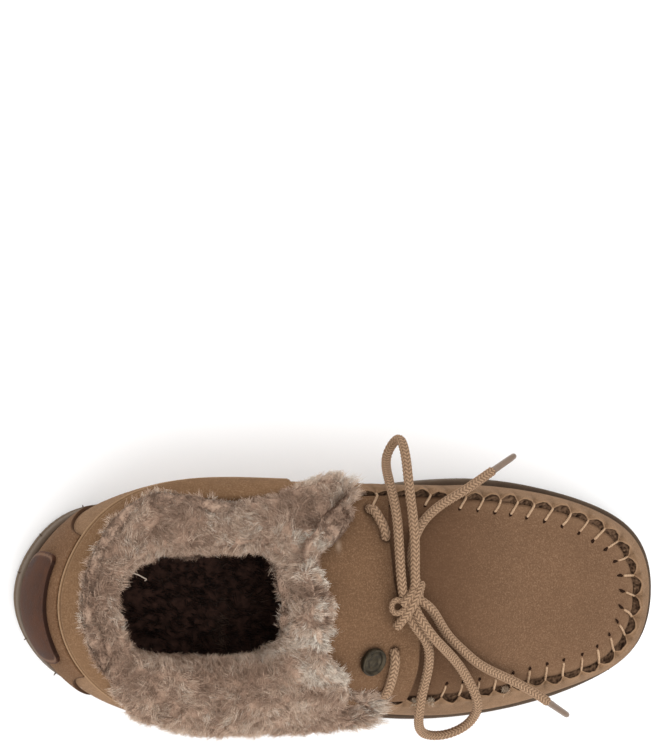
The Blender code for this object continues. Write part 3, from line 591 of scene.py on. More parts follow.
def suede(name, color, dark=0.80, bright=1.16, blotch=26 * mm, marks=()):
    # napped leather: broad brushed patches, a fine grain and short fibres
    look = Look(name, {"Roughness": 0.95, "Specular IOR Level": 0.06, "Sheen Weight": 0.04,
                       "Sheen Roughness": 0.5, "Sheen Tint": (1.0, 0.80, 0.60, 1)})
    base = tint(*color)
    deep = tuple(channel * dark for channel in base[:3]) + (1,)
    pale = tuple(min(1, channel * bright) for channel in base[:3]) + (1,)
    patches = look.cloud(blotch, 3, 0.55, 0.33, 0.68)
    brushed = look.cloud(5 * mm, 3, 0.6, 0.30, 0.72, (1, 2.2, 1))
    grain = look.cloud(0.75 * mm, 3, 0.8, 0.32, 0.68)
    color = look.mix(patches * 0.55 + brushed * 0.45, deep, pale)
    color = look.mix(0.40 - grain * 0.40, color, tint(52, 32, 20))
    color = look.mix(look.clamp(grain, 0.55, 1.0) * 0.17, color, tint(206, 172, 140))
    color = look.mix(look.cloud(11 * mm, 4, 0.6, 0.35, 0.7) * 0.22, color, deep)
    for markName, markColor, strength in marks:
        color = look.mix(look.mark(markName) * strength, color, tint(*markColor))
    look.feed("Base Color", color)
    fibres = look.noise(0.45 * mm, 2, 0.7)
    soft = look.bump(brushed, 0.35 * mm, 0.5)
    look.feed("Normal", look.bump(fibres + grain * 0.6, 0.16 * mm, 0.8, soft))
    return look


# Lace: it comes first of the pieces

lace = {"diameter": 4.2 * mm, "sides": 32, "step": 0.36 * mm, "pitch": 1.75 * mm,
        "columns": 4, "slant": 0.95, "relief": 0.16, "pale": (192, 160, 130),
        "mid": (156, 124, 97), "valley": (70, 48, 34), "aglet": 3.0 * mm}
laceRoutes = {
    "innerLoop": [
        (8.6, -1.5, 71.6), (9.6, 4.5, 72.8), (10, 9.9, 73.6), (9.6, 18, 74), (9.6, 27, 73),
        (9.4, 38, 70), (9.4, 47.5, 65.5), (9.8, 57, 60.5), (10.2, 64.5, 55), (10.2, 68.3, 48.5),
        (9, 65.5, 42.5), (7, 59.5, 42), (5, 53.5, 50), (3.8, 47.8, 58.5), (3.4, 38, 67),
        (3.2, 27, 71.6), (3.6, 17, 73.2), (4.3, 9.9, 73.6), (5.6, 4.5, 72.6), (7.6, -1.0, 71.4)],
    "outerLoop": [
        (7.0, 3.5, 71.6), (8.6, -2.0, 72.0), (10.5, -6.9, 72.4), (15.5, -12.5, 70.8),
        (19.4, -19, 67), (20.6, -27.5, 62.6), (20.6, -36.5, 57.4), (21.5, -46, 51.5),
        (25, -53.5, 42.5), (31, -57.5, 36), (39.5, -58, 34), (46.5, -54.5, 37.5), (49, -49, 44),
        (47.5, -42, 51.5), (42, -33.5, 56.5), (34.5, -25, 62), (26, -18, 69), (18.5, -12.3, 75.2),
        (14, -7, 75.8), (11.4, -2.6, 74.4), (9.8, 2.0, 72.6)],
    "innerEnd": [
        (13.0, 3.0, 70.8), (12.4, 8.4, 69.7), (11, 17, 67.2), (11.6, 24, 65), (14.5, 30.5, 62.1),
        (20.5, 37, 58.5), (29, 42.5, 55.2), (38, 47.5, 53.7), (46, 52, 51), (52.5, 55.5, 48)],
    "outerEnd": [
        (12.2, 3.4, 72.2), (16.5, 0.6, 72.0), (21.3, -4, 69.2), (28, -11.8, 64.8),
        (36.5, -18.9, 61), (46, -25.4, 56.9), (57.5, -30.6, 52.2), (68, -35.2, 48.8),
        (76.5, -39.6, 46.4), (82.5, -43, 43.6)]}
# Turns of the lace that make the knot, each with its share of the lace's diameter
knotTurns = [
    (1.0, [(13.6, 9.6, 70.6), (11.6, 6.8, 74.0), (9.0, 2.6, 76.0), (6.6, -1.8, 75.2),
           (4.6, -5.8, 72.6), (3.6, -8.0, 70.8)]),
    (0.95, [(10.8, 10.2, 71.0), (8.8, 6.4, 74.2), (6.2, 3.4, 75.4), (4.2, 1.4, 74.8)]),
    (0.6, [(6.4, 1.0, 75.4), (3.4, -1.8, 74.6), (0.9, -1.4, 73.4), (0.6, 1.6, 73.0),
           (2.6, 3.2, 73.6), (5.2, 2.2, 74.6)])]
# Both ends of the bars that show between the saddle's slots, and how they rise between them
barEnds = {"outer": [(5.06, .06), (5.03, .27)], "inner": [(5.26, .93), (5.13, .80)]}
barShape = [(0, -.3), (0.04, 0.4), (0.18, 1.0), (0.5, 1.15), (0.8, 0.95), (0.95, 0.4), (1, -.2)]


def laceLook():
    look = Look("lace cord", {"Roughness": 0.88, "Specular IOR Level": 0.12})
    threads = look.cloud(0.5 * mm, 3, 0.7)
    color = look.mix(threads, tint(*lace["mid"]), tint(*lace["pale"]))
    # the braid's grooves are darkened with painted shade
    color = look.mix(look.clamp(look.mark("valley"), 0.30, 0.95) * 0.78, color,
                     tint(*lace["valley"]))
    look.feed("Base Color", color)
    look.roughen(0.3 * mm, 0.12 * mm, 0.6)
    return look


def braidParts(route, share=1.0):
    # a braid's columns are ridges that climb to one side and the other by turns
    path, walked = evenRoute(route, lace["step"])
    turn = np.arange(lace["sides"]) / lace["sides"] * lace["columns"] % 1
    zigzag = np.abs(2 * turn - 1)
    size = lace["pitch"] * share ** 0.5
    wave = 2 * math.pi * (walked[:, None] / size + lace["slant"] * zigzag[None, :])
    groove = np.exp(-(np.minimum(zigzag, 1 - zigzag) / 0.16) ** 2)
    ridge = (0.5 + 0.5 * np.cos(wave)) * (1 - 0.45 * groove)
    radii = lace["diameter"] * share / 2 * (1 - lace["relief"] + lace["relief"] * ridge)
    places, faces = tubeParts(path, radii, lace["sides"])
    # valley is 1 in the grooves between the ridges, where the look paints shade
    valley = np.zeros(len(places))
    valley[:ridge.size] = (1 - ridge).ravel()
    return path, places, faces, {"valley": valley}


def makeLace():
    look = laceLook()
    turns = [braidParts(np.array(route) * mm, share)[1:] for share, route in knotTurns]
    places, faces, marks = joinParts(turns)
    knot = addPiece("tiedKnot", places, faces, look, marks, facing=None)
    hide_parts("lace_knot")
    tips = makeAglets()
    facts = {"innerLoop": ("lace_loop_inner", "object", [knot]),
             "outerLoop": ("lace_loop_outer", "object", []),
             "innerEnd": ("lace_end_inner", "fitting", [tips["innerEnd"]]),
             "outerEnd": ("lace_end_outer", "fitting", [tips["outerEnd"]])}
    for name, (node, farEnd, onIt) in facts.items():
        path, places, faces, marks = braidParts(np.array(laceRoutes[name]) * mm)
        cord = addPiece(name, places, faces, look, marks, facing=None)
        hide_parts(node)
        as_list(onIt)
    for side, ends in barEnds.items():
        start, end = (np.array(spot) for spot in ends)
        route = [onSaddle(*(start + (end - start) * share),
                          (form["gap"] + lace["diameter"] / 2) * height)
                 for share, height in barShape]
        _, places, faces, marks = braidParts(route)
        bar = addPiece(side + "Bar", places, faces, look, marks, facing=None)
        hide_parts("lace_bar_" + side)


def makeAglets():
    look = Look("aglet plastic", {"Roughness": 0.32, "Specular IOR Level": 0.5,
                                  "Coat Weight": 0.3, "Coat Roughness": 0.25})
    look.feed("Base Color",
              look.mix(look.noise(3 * mm, 2), tint(96, 73, 55), tint(128, 104, 83)))
    # rings along the tip: place in mm, radius as a share
    profile = [(-1.2, 0.98), (0.0, 1.02), (0.3, 1.08), (0.9, 1.02), (2.5, 0.97), (3.2, 1.01),
               (4.0, 0.96), (9.0, 0.95), (12.5, 0.93), (14.4, 0.86), (15.0, 0.68)]
    made = {}
    for name in ("innerEnd", "outerEnd"):
        before, end = np.array(laceRoutes[name][-2:]) * mm
        ahead = unit(end - before)
        path = np.array([end + ahead * (form["gap"] + reach * mm) for reach, _ in profile])
        radii = [lace["aglet"] / 2 * radius for _, radius in profile]
        tip = addPiece(name + "Tip", *tubeParts(path, radii, 24), look, facing=None)
        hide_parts("aglet_inner" if name == "innerEnd" else "aglet_outer")
        made[name] = tip
    return made


makeLace()
print("lace")


# Rubber sole

sole = {"columns": 640, "treadSteps": 24, "treadDepth": 1.8 * mm, "treadWidth": 4 * mm,
        "grooves": [-119.5, -107.5, -95.5, -83.5, -71.5, 31.6, 43.6, 55.6, 67.6, 79.6],
        "treadShare": 0.8, "nibs": [19.6, 18.9, 18.1, 0.75, 1.5, 8.3], "spur": 17.6}
# How far in from the outline in mm, and the share of the sole's thickness
soleSide = [(2.6, 0.0), (1.5, 0.015), (0.7, 0.06), (0.25, 0.14), (0.0, 0.24), (0.05, 0.32),
            (0.45, 0.355), (0.85, 0.38), (0.9, 0.42), (0.85, 0.46), (0.4, 0.49), (0.05, 0.53),
            (0.0, 0.62), (0.0, 0.80), (0.12, 0.90), (0.35, 0.96), (0.75, 1.0), (1.5, 1.0),
            (2.6, 0.985), (6.0, 0.98)]


def soleLook():
    look = Look("sole rubber", {"Specular IOR Level": 0.15})
    color = look.mix(look.cloud(16 * mm), tint(78, 63, 50), tint(96, 79, 64))
    # the side band is painted paler: painted light on the lit sidewall
    color = look.mix(look.mark("side") * 0.75, color, tint(116, 100, 84))
    dust = look.cloud(1.1 * mm, 4, 0.7, 0.55, 0.8)
    look.feed("Base Color", look.mix(dust * 0.25, color, tint(140, 122, 104)))
    look.feed("Roughness", 0.66 + dust * 0.2)
    look.roughen(0.6 * mm, 0.10 * mm, 0.5, 3)
    return look


def makeSole():
    spots = np.arange(sole["columns"]) * stations / sole["columns"]
    rings, side = [], []
    for inset, height in soleSide:
        ring = soleOutline(spots, inset * mm)
        low, high = ground(ring[:, 0]), deck(ring[:, 0])
        ring[:, 2] = low + (high - low) * height
        rings.append(ring)
        # side marks the sidewall rows, which the look paints paler as painted light
        side.append(np.full(len(spots), 1.0 if 0.05 < height < 0.9 else 0.0))
    # the tread closes in strips from the outer to the inner side
    count, steps = len(spots) // 2, sole["treadSteps"]
    low = rings[0]
    strips = []
    for strip in range(1, count):
        share = np.arange(1, steps)[:, None] / steps
        line = low[strip] + (low[2 * count - strip] - low[strip]) * share
        line[:, 2] = ground(line[:, 0])
        strips.append(line)
    strips = np.array(strips).reshape(-1, 3)
    places = np.concatenate([np.array(rings).reshape(-1, 3), strips])
    start = len(soleSide) * len(spots)

    def corner(strip, step):
        if step == 0 or strip in (0, count):
            return strip
        if step == steps:
            return 2 * count - strip
        return start + (strip - 1) * (steps - 1) + step - 1
    bottom = [[corner(strip, step), corner(strip + 1, step), corner(strip + 1, step + 1),
               corner(strip, step + 1)] for strip in range(1, count - 1) for step in range(steps)]
    faces = np.concatenate([gridFaces(len(rings), len(spots), closeColumns=True), bottom])
    marks = {"side": np.concatenate([np.concatenate(side), np.zeros(len(strips))])}
    # cross grooves under heel and ball, which stop short of the edge
    sideways = np.tile(np.abs(np.arange(1, steps) / (steps / 2) - 1), count - 1)
    for middle in sole["grooves"]:
        away = np.abs(strips[:, 0] - middle * mm)
        cut = eased(0.5, 0.38, away / sole["treadWidth"]) * (sideways < sole["treadShare"])
        places[start:, 2] += cut * sole["treadDepth"]
    look = soleLook()
    body = addPiece("rubberSole", places, faces, look, marks)
    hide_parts("outsole")
    makeNibs(look)


def makeNibs(look):
    # small vents of the mould on the sole's side, and one longer spur
    nibs = []
    for spot, length, height in [(nib, 1.3 * mm, 0.55) for nib in sole["nibs"]] + [
            (sole["spur"], 2.4 * mm, 0.9)]:
        foot = soleOutline(spot, 0.4 * mm)
        foot[2] = ground(foot[0]) + (deck(foot[0]) - ground(foot[0])) * height
        path = foot + np.outer([0, 0.5, 1.0], outwardOf(spot) * (length + 0.4 * mm))
        path, _ = evenRoute(np.vstack([path, path[-1:] + [0.1 * mm, 0, 0.1 * mm]]), 0.4 * mm)
        nibs.append((*tubeParts(path, np.linspace(0.45, 0.12, len(path)) * mm, 8), {}))
    places, faces, _ = joinParts(nibs)
    addPiece("mouldNibs", places, faces, look, facing=None)


makeSole()
print("sole")


# Suede upper: the quarters and the vamp, gathered under the apron's seam

upper = {"columns": 920, "rows": 18, "lipReach": 3.7 * mm, "stitchReach": 0.7 * mm,
         "lipEnd": 1.1 * mm, "pull": 0.8 * mm, "gatherFoot": 0.50, "floorRows": 10,
         "color": (150, 118, 90)}


def upperLook():
    # pocket and gap are painted shade: pocket darkens the suede that turns down into the seam and
    # the wall's inside, gap the creases and the seam's depth
    return suede("upper suede", upper["color"], marks=[
        ("pocket", (104, 80, 62), 0.95), ("gap", (40, 26, 18), 0.95),
        ("worn", (184, 150, 118), 0.40)])


def makeUpper():
    spots = np.arange(upper["columns"]) * stations / upper["columns"]
    share = seamShare(spots)
    walk = alongSeam(spots)
    pocket = pocketAt(walk) ** 0.7
    index = np.floor(stitchNumber(walk)).astype(int)
    size = np.random.default_rng(3).uniform(0.8, 1.15, 64)[index % 64]
    sections, marks = [], {"pocket": [], "gap": [], "worn": []}

    # inPocket and gap are how much painted shade each row gets
    def addRow(places, inPocket=0.0, gap=0.0, worn=0.0):
        sections.append(places)
        for name, value in (("pocket", inPocket), ("gap", gap), ("worn", worn)):
            marks[name].append(share * value)
    for height in np.linspace(0, 0.93, upper["rows"]):
        pull = eased(upper["gatherFoot"], 1.0, height) ** 1.4
        base = wall(spots, height)
        fold = -upper["pull"] * (1 - pocket) * size + waves(base, 5 * mm, 22) * 0.15 * mm
        broad = waves(base, 34 * mm, 21) * 0.45 * mm * math.sin(math.pi * height)
        # gap paints shade into the creases where the stitches pull the suede in
        addRow(wall(spots, height, broad + share * pull * fold), worn=pull * pocket * 0.35,
               gap=pull * (1 - pocket) ** 2 * 0.45)
    edgeIn = form["wall"] + form["gap"] + apronInset(spots)
    ragged = waves(wall(spots, 1.0), 2.6 * mm, 23) * 0.28 * mm
    reach = upper["stitchReach"] + (upper["lipReach"] * size - upper["stitchReach"]) * pocket
    lip = np.minimum(reach - edgeIn, upper["lipEnd"]) + ragged * pocket
    rise = (0.15 + 0.75 * pocket * size) * mm
    over = 0.4 * mm

    def rimRow(liftSeam, riseSeam, liftPlain, risePlain, **extra):
        # a row at the top edge, with one place along the seam and another along the opening
        addRow(wall(spots, 1.0, liftPlain + (liftSeam - liftPlain) * share,
                    risePlain + (riseSeam - risePlain) * share), **extra)
    rimRow(lip + 0.30 * mm, -1.1 * mm, 0.0, -0.8 * mm, worn=0.3 * pocket)
    rimRow(lip + 0.25 * mm, 0.2 * rise, -0.05 * mm, 0.1 * over, worn=0.5 * pocket)
    rimRow(lip, rise, -0.3 * mm, 0.7 * over, worn=0.9)
    rimRow(lip - 0.35 * mm, rise + 0.05 * mm, -0.8 * mm, over, worn=0.6, inPocket=0.3)
    for step in np.linspace(0, 1, upper["floorRows"]):
        lift = (lip - 0.7 * mm) * (1 - step) + (-edgeIn - 0.8 * mm) * step
        place = wall(spots, 1.0, lift)
        crumple = (waves(place, 1.9 * mm, 24) + 0.7 * waves(place, 1.1 * mm, 25)) / 1.7
        deep = 0.15 + 0.85 * math.sin(math.pi * min(1, 0.15 + 0.7 * step))
        height = (-0.55 * pocket * deep - 0.5 * step) * mm + crumple * 0.75 * mm * deep
        # painted shade in the crumple's troughs and just under the lip
        gap = np.clip(0.30 - crumple * 1.1, 0, 1) + 0.75 * bell(step, 0.12)
        rimRow(lift, height, -(0.8 + 1.7 * step) * mm, over * (1 - step) - 0.8 * mm * step,
               inPocket=1.0, gap=np.clip(gap * (0.35 + 0.65 * pocket), 0, 1),
               worn=np.clip(crumple - 0.35, 0, 0.6))
    # the deepest row of the seam, dark with painted shade
    rimRow(-edgeIn - 1.0 * mm, -1.9 * mm, -2.5 * mm, -1.2 * mm, inPocket=1.0, gap=1.0)
    for height in np.linspace(0.93, 0.0, 8):
        addRow(wall(spots, height, -form["wall"] * (1 + 0.1 * share)), inPocket=0.9)
    faces = gridFaces(len(sections), len(spots), closeRows=True, closeColumns=True)
    body = addPiece("suedeUpper", np.array(sections), faces, upperLook(),
                    {name: np.array(value) for name, value in marks.items()}, facing=None)
    fixFacing(body)
    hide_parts("upper")


makeUpper()
print("upper")


# Apron over the toes, with its stitched margin

apron = {"rows": 150, "columns": 120, "puff": 0.45 * mm,
         "color": (129, 98, 74)}
# Soft troughs behind the toes and along the lace's pull, and the swells of the toes, in mm
apronTroughs = [((62, 2), (9, 26), 0.5), ((46, -8), (6, 20), 0.35), ((96, 10), (14, 10), -0.5),
                ((96, -16), (14, 9), -0.35), ((30, 14), (10, 9), 0.4)]


def nearestSeam(places):
    # distance to the seam line and the length walked along it, for each point
    distance, walked = np.empty(places.shape[:-1]), np.empty(places.shape[:-1])
    line, lineWalk = seamPlaces[::2], seamWalk[::2]
    for row, block in enumerate(places):
        gaps = np.linalg.norm(block[:, None, :2] - line[None, :, :2], axis=2)
        nearest = gaps.argmin(1)
        distance[row], walked[row] = gaps.min(1), lineWalk[nearest]
    return distance, walked


def makeApron():
    look = suede("apron suede", apron["color"], dark=0.84, bright=1.12, blotch=38 * mm, marks=[
        ("margin", (158, 126, 98), 0.35), ("shade", (84, 58, 40), 0.85)])
    grow = np.linspace(0, 1, apron["rows"])
    back = form["apronRear"] * (0.35 * grow ** 2 + 0.65 * grow)
    turn = np.linspace(0, 1, apron["columns"])
    across = turn - 0.11 * np.sin(2 * math.pi * turn)
    places = instep(back[:, None], across[None, :], pulled=True)
    distance, walked = nearestSeam(places)
    distance = distance - apronInset(spotAlong(walked))
    pocket = pocketAt(walked)
    normal = instepNormal(np.maximum(back, 0.05)[:, None], across[None, :])
    margin, rim = bell(distance, 4.2 * mm), bell(distance, 0.7 * mm)
    lift = (margin * (pocket - 0.45) * apron["puff"] - rim * 0.35 * mm
            + waves(places, 46 * mm, 5) * 0.35 * mm * (1 - margin)
            + waves(places, 15 * mm, 6) * 0.08 * mm)
    for middle, width, depth in apronTroughs:
        gap = np.linalg.norm((places[..., :2] - np.array(middle) * mm) / (np.array(width) * mm),
                             axis=-1)
        lift = lift - depth * mm * bell(gap, 1)
    top = places + normal * lift[..., None]
    shade = eased(66 * mm, 20 * mm, places[..., 0]) * 0.7 + rim * 0.5

    def edged(values):
        return np.concatenate([values[:, :1], values, values[:, -1:]], 1)
    rings = edged(top)
    rings[:, [0, -1], 2] -= 0.9 * mm
    piece = addPiece("toeApron", rings, gridFaces(*rings.shape[:2]), look,
                     {"margin": edged(margin) * 0.8, "shade": edged(shade)})
    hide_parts("apron")


makeApron()
print("apron")


# Saddle over the instep

saddle = {"rows": 70, "columns": 110, "color": (127, 96, 71), "room": 1.0 * mm}


def onFlap(u, v):
    # from shares of the saddle's width and depth to a place of the instep
    side = saddle["room"] / form["ballWidth"]
    across = side + (1 - 2 * side) * u
    spots = np.interp(across, saddleTable["across"], np.arange(len(saddleTable["across"])))
    front, rear = (openSpline(saddleTable[name], spots) for name in ("front", "rear"))
    return front + (rear - front) * v, across


def makeSaddle():
    look = suede("saddle suede", saddle["color"], dark=0.86, bright=1.12, marks=[
        ("edge", (70, 47, 32), 0.75), ("slit", (34, 20, 12), 0.95), ("dust", (196, 170, 146), 0.5)])

    def surface(u, v, lift):
        back, across = onFlap(u, v)
        base = instep(back, across, form["lapGap"])
        swell = waves(base, 30 * mm, 9) * 0.35 * mm + waves(base, 11 * mm, 10) * 0.1 * mm
        roll = bell(v, 0.05) * 0.25 * mm
        full = lift > 0.9 * form["saddleWall"]
        return base + instepNormal(back, across) * (lift + full * (swell + roll))[..., None]

    # painted shadow of the slots where the lace bars go into the saddle
    def slitShadows(u, v):
        places = instep(*onFlap(u, v))
        gap = [np.linalg.norm(places - instep(*spot), axis=-1)
               for ends in barEnds.values() for spot in ends]
        return bell(np.min(gap, axis=0), 2.7 * mm, 4)
    # edge is painted shade along the saddle's front edge, where it laps over the apron
    piece = laidSheet("instepSaddle", surface, form["saddleWall"], saddle["rows"],
                      saddle["columns"], look, marks={
                          "edge": lambda u, v: bell(v, 0.008), "slit": slitShadows,
                          "dust": lambda u, v: bell(v - 0.62, 0.03) * bell(u - 0.78, 0.025)})
    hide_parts("saddle")


makeSaddle()
print("saddle")


# Whip stitches over the seam

stitch = {"thread": 1.05 * mm, "first": -1, "last": 32, "saddleFrom": 4.72,
          "spots": [5.2, 6.0, 6.6, 7.5, 8.2, 8.7, 9.3, 10, 11, 12, 13, 14.5],
          "insets": [7.0, 6.4, 6.0, 6.9, 8.0, 9.6, 10.4, 9.8, 8.4, 6.9, 5.6, 4.2],
          "slants": [1.0, 0.5, 0.2, 0.2, 1.0, 2.8, 4.2, 3.6, 3.2, 3.8, 3.6, 3.0],
          "starts": [0.26, 0.28, 0.28, 0.28, 0.28, 0.30, 0.36, 0.38, 0.34, 0.20, 0.12, 0.10],
          "tears": [0.75, 0.8, 0.8, 0.85, 0.85, 1.0, 1.9, 2.1, 1.8, 1.2, 0.95, 0.8]}


def stitchLooks():
    thread = Look("waxed thread", {"Roughness": 0.6, "Specular IOR Level": 0.35})
    thread.feed("Base Color",
                thread.mix(thread.cloud(0.8 * mm), tint(160, 124, 94), tint(206, 174, 140)))
    thread.roughen(0.35 * mm, 0.1 * mm, 0.6)
    # the holes are dark sheets of painted shade
    hole = Look("stitch hole shade", {"Roughness": 0.95, "Specular IOR Level": 0.05})
    hole.feed("Base Color", hole.mix(hole.noise(1 * mm, 2), tint(26, 14, 8), tint(50, 31, 20)))
    return thread, hole


def makeStitches():
    threadLook, holeShadeLook = stitchLooks()
    back, across = np.linspace(0.02, 7, 260), np.linspace(0, 1, 200)
    cloud = instep(back[:, None], across[None, :], pulled=True).reshape(-1, 3)

    def dropOn(place, lift):
        # straight down or up onto the apron
        gap = np.linalg.norm(cloud[:, :2] - place[:2], axis=1)
        near = np.argpartition(gap, 3)[:3]
        height = np.average(cloud[near, 2], weights=1 / (gap[near] + 1e-5))
        return np.array([place[0], place[1], height + lift])
    threads, holes = [], []
    draw = np.random.default_rng(8)
    for number in range(stitch["first"], stitch["last"] + 1):
        walked = np.interp(number, seam["numbers"], np.array(seam["walks"]) * mm)
        spot = spotAlong(walked)
        inset, slant, share, tear = (np.interp(spot, stitch["spots"], stitch[name])
                                     for name in ("insets", "slants", "starts", "tears"))
        inner = spotAlong(walked + slant * mm)
        outward = unit(wallNormal(spot, 1.0) * [1, 1, 0])
        edge = seamEdge(spot, form["gap"] + apronInset(spot))
        hole = seamEdge(inner) - unit(wallNormal(inner, 1.0) * [1, 1, 0]) * inset * mm
        lift = 0.0
        if abs(inner - form["toe"]) > stitch["saddleFrom"]:
            # the last stitches go through the saddle too
            lift = form["lapGap"] + form["saddleWall"]
            edge = edge + [0, 0, lift]
        hole = dropOn(hole + draw.normal(size=3) * 0.15 * mm, lift)
        start = dropOn(hole + (edge - hole) * share, lift)
        middle = dropOn(start + (edge - start) * 0.55, lift)
        route = [start - [0, 0, 0.7 * mm], start + [0, 0, 0.2 * mm],
                 middle + [0, 0, 0.42 * mm] + draw.normal(size=3) * 0.1 * mm,
                 edge + outward * 0.3 * mm + [0, 0, 0.45 * mm],
                 edge + outward * 0.95 * mm - [0, 0, 0.05 * mm],
                 edge + outward * 1.1 * mm - [0, 0, 1.2 * mm]]
        path, along = evenRoute(route, 0.33 * mm)
        twist = 1 + 0.12 * np.sin(along[:, None] / (0.9 * mm) * 2 * math.pi
                                  + np.arange(10)[None, :] * 2 * math.pi / 5)
        radii = stitch["thread"] / 2 * twist * draw.uniform(0.85, 1.1)
        threads.append((*tubeParts(path, radii, 10), {}))
        holes.append(holeParts(hole, unit((hole - edge) * [1, 1, 0]), tear * mm, lift, dropOn,
                               draw))
    for name, parts, look, slot in (("whipStitches", threads, threadLook, "lace"),
                                    ("stitchHoleShades", holes, holeShadeLook, "apron")):
        places, faces, _ = joinParts(parts)
        addPiece(name, places, faces, look, facing=None)


def holeParts(middle, direction, length, lift, dropOn, draw):
    # a small torn oval, longer towards the thread: a dark sheet laid just above the suede as
    # painted shade of the hole
    other = np.array([-direction[1], direction[0], 0])
    width = draw.uniform(0.60, 0.78) * mm
    turn = np.arange(12) * math.pi / 6
    rings = []
    for ring, height in ((0.08, 0.26), (0.6, 0.28), (1.0, 0.20)):
        rough = ring * (1 + 0.15 * np.sin(3 * turn + draw.uniform(0, 6)))
        spots = (middle + np.outer(np.cos(turn) * length * rough, direction)
                 + np.outer(np.sin(turn) * width * rough, other))
        rings.append([dropOn(spot, lift + height * mm) for spot in spots])
    return np.array(rings).reshape(-1, 3), gridFaces(3, 12, closeColumns=True), {}


makeStitches()
print("stitches")


# Binding round the collar, heel counter and heel patch

band = {"reach": 3.95, "foot": 0.76, "wall": 1.2 * mm, "color": (134, 102, 74)}
# height above the band's foot, how far out in mm, how pale, and how much painted shade lies in the
# fold
bandPiping = [(-0.022, -0.2, 0.4, 0.6), (-0.018, 0.6, 0.6, 0.2), (-0.012, 1.1, 1, 0),
              (-0.002, 1.4, 1, 0), (0.010, 1.3, 0.5, 0), (0.018, 0.95, 0, 0.8),
              (0.030, 1.2, 0, 0.2), (0.036, 1.45, 0.4, 0)]
heel = {"counterWall": 1.2 * mm, "patchWall": 1.3 * mm, "color": (122, 90, 65)}
counterTable = {"height": [.03, .14, .28, .42, .58, .735],
                "outer": [2.10, 2.02, 1.78, 1.48, 1.28, 1.22],
                "inner": [-2.05, -1.96, -1.74, -1.44, -1.24, -1.18]}
patchTable = {"height": [.14, .19, .28, .42, .56, .61],
              "outer": [.78, .93, .98, .98, .93, .82],
              "inner": [-.62, -.74, -.80, -.80, -.76, -.66]}


def makeBand():
    # fold is painted shade in the groove beside the piping
    look = suede("band suede", band["color"], dark=0.84, bright=1.16, marks=[
        ("piping", (190, 158, 124), 0.55), ("fold", (84, 58, 40), 0.6)])
    over = 0.4 * mm + form["gap"]
    lift = form["gap"] + band["wall"]
    inside = -(form["wall"] + form["gap"] + band["wall"])
    # height, how far out, how far on, how pale, and how much painted shade it gets in the folds
    # beside the piping: first the piping
    rows = [(band["foot"] + up, out * mm, 0, pale, deep) for up, out, pale, deep in bandPiping]
    rows += [(height, lift, 0, 0, 0) for height in np.linspace(0.81, 0.98, 12)]
    rows += [(1.0, lift, 0.5 * over, 0, 0), (1.0, 0.6 * lift, 1.5 * over, 0, 0),
             (1.0, 0.0, over + 0.8 * band["wall"], 0, 0),
             (1.0, -0.5 * form["wall"], over + band["wall"], 0, 0),
             (1.0, -form["wall"], over + 0.8 * band["wall"], 0, 0),
             (1.0, inside, 0.3 * over, 0, 0), (0.93, inside, 0, 0, 0), (0.85, inside, 0, 0, 0)]
    spots = np.linspace(-band["reach"], band["reach"], 420)
    places = []
    for height, out, up, _, _ in rows:
        base = wall(spots, height)
        swell = waves(base, 26 * mm, 31) * 0.3 * mm + waves(base, 8 * mm, 32) * 0.08 * mm
        places.append(wall(spots, height, out + (swell if height > 0.8 else 0), up))
    marks = np.repeat(np.array(rows)[:, 3:], len(spots), 0)
    piece = addPiece("collarBinding", np.array(places), gridFaces(len(rows), len(spots)), look,
                     {"piping": marks[:, 0], "fold": marks[:, 1]})
    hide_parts("collar_band")


def laidOnHeel(name, table, lift, thickness, look, rows, columns, marks=None):
    def surface(u, v, raised):
        row = v * (len(table["height"]) - 1)
        height, outer, inner = (openSpline(table[key], row) for key in ("height", "outer", "inner"))
        spots = inner + (outer - inner) * u
        base = wall(spots, height)
        full = raised > 0.9 * thickness
        swell = waves(base, 18 * mm, 41) * 0.2 * mm
        return wall(spots, height, lift + raised + full * swell)
    return laidSheet(name, surface, thickness, rows, columns, look, marks=marks)


def makeCounter():
    look = suede("counter suede", heel["color"], marks=[("edge", (66, 44, 30), 0.85)])
    counter = laidOnHeel("heelCounter", counterTable, form["lapGap"], heel["counterWall"], look,
                         40, 150, {"edge": lambda u, v: bell(np.minimum(u, 1 - u), 0.007)})
    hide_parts("heel_counter")


def makePatch():
    leather = Look("patch leather", {"Specular IOR Level": 0.12})
    pores = leather.clamp(leather.cells(0.9 * mm), 0.0, 0.5)
    cloud = leather.cloud(9 * mm)
    color = leather.mix(cloud, tint(60, 34, 20), tint(83, 51, 34))
    color = leather.mix(leather.mark("rim") * 0.5, color, tint(150, 116, 92))
    color = leather.mix(leather.mark("edge") * 0.9, color, tint(46, 28, 20))
    pinholes = leather.clamp(leather.cells(3.1 * mm), 0.16, 0.08)
    color = leather.mix(pinholes * 0.7, color, tint(36, 22, 16))
    leather.feed("Base Color", color)
    leather.feed("Roughness", 0.62 + cloud * 0.16)
    leather.feed("Normal", leather.bump(pores + leather.noise(4 * mm, 3) * 0.8, 0.18 * mm, 0.6))
    marks = {"edge": lambda u, v: bell(1 - v, 0.035),
             "rim": lambda u, v: bell(np.minimum(u, 1 - u) - 0.03, 0.012)}
    patch = laidOnHeel("heelPatch", patchTable, 2 * form["lapGap"] + heel["counterWall"],
                       heel["patchWall"], leather, 40, 90, marks)
    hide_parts("heel_patch")


makeBand()
makeCounter()
makePatch()
print("heel")


# Snap button

button = {"spot": (5.32, 0.24), "radius": 6 * mm, "height": 2.8 * mm, "tilt": 0.18,
          "columns": 56}
# Share of the radius and of the height, from the foot up to the middle
buttonProfile = [(0, .78), (.20, .78), (.30, .66), (.38, .60), (.46, .70), (.52, .80), (.66, .78),
                 (.74, .56), (.80, .60), (.86, .96), (.92, 1.0), (.97, .90), (1.0, .62),
                 (1.0, .35), (.95, .05), (.90, 0)]


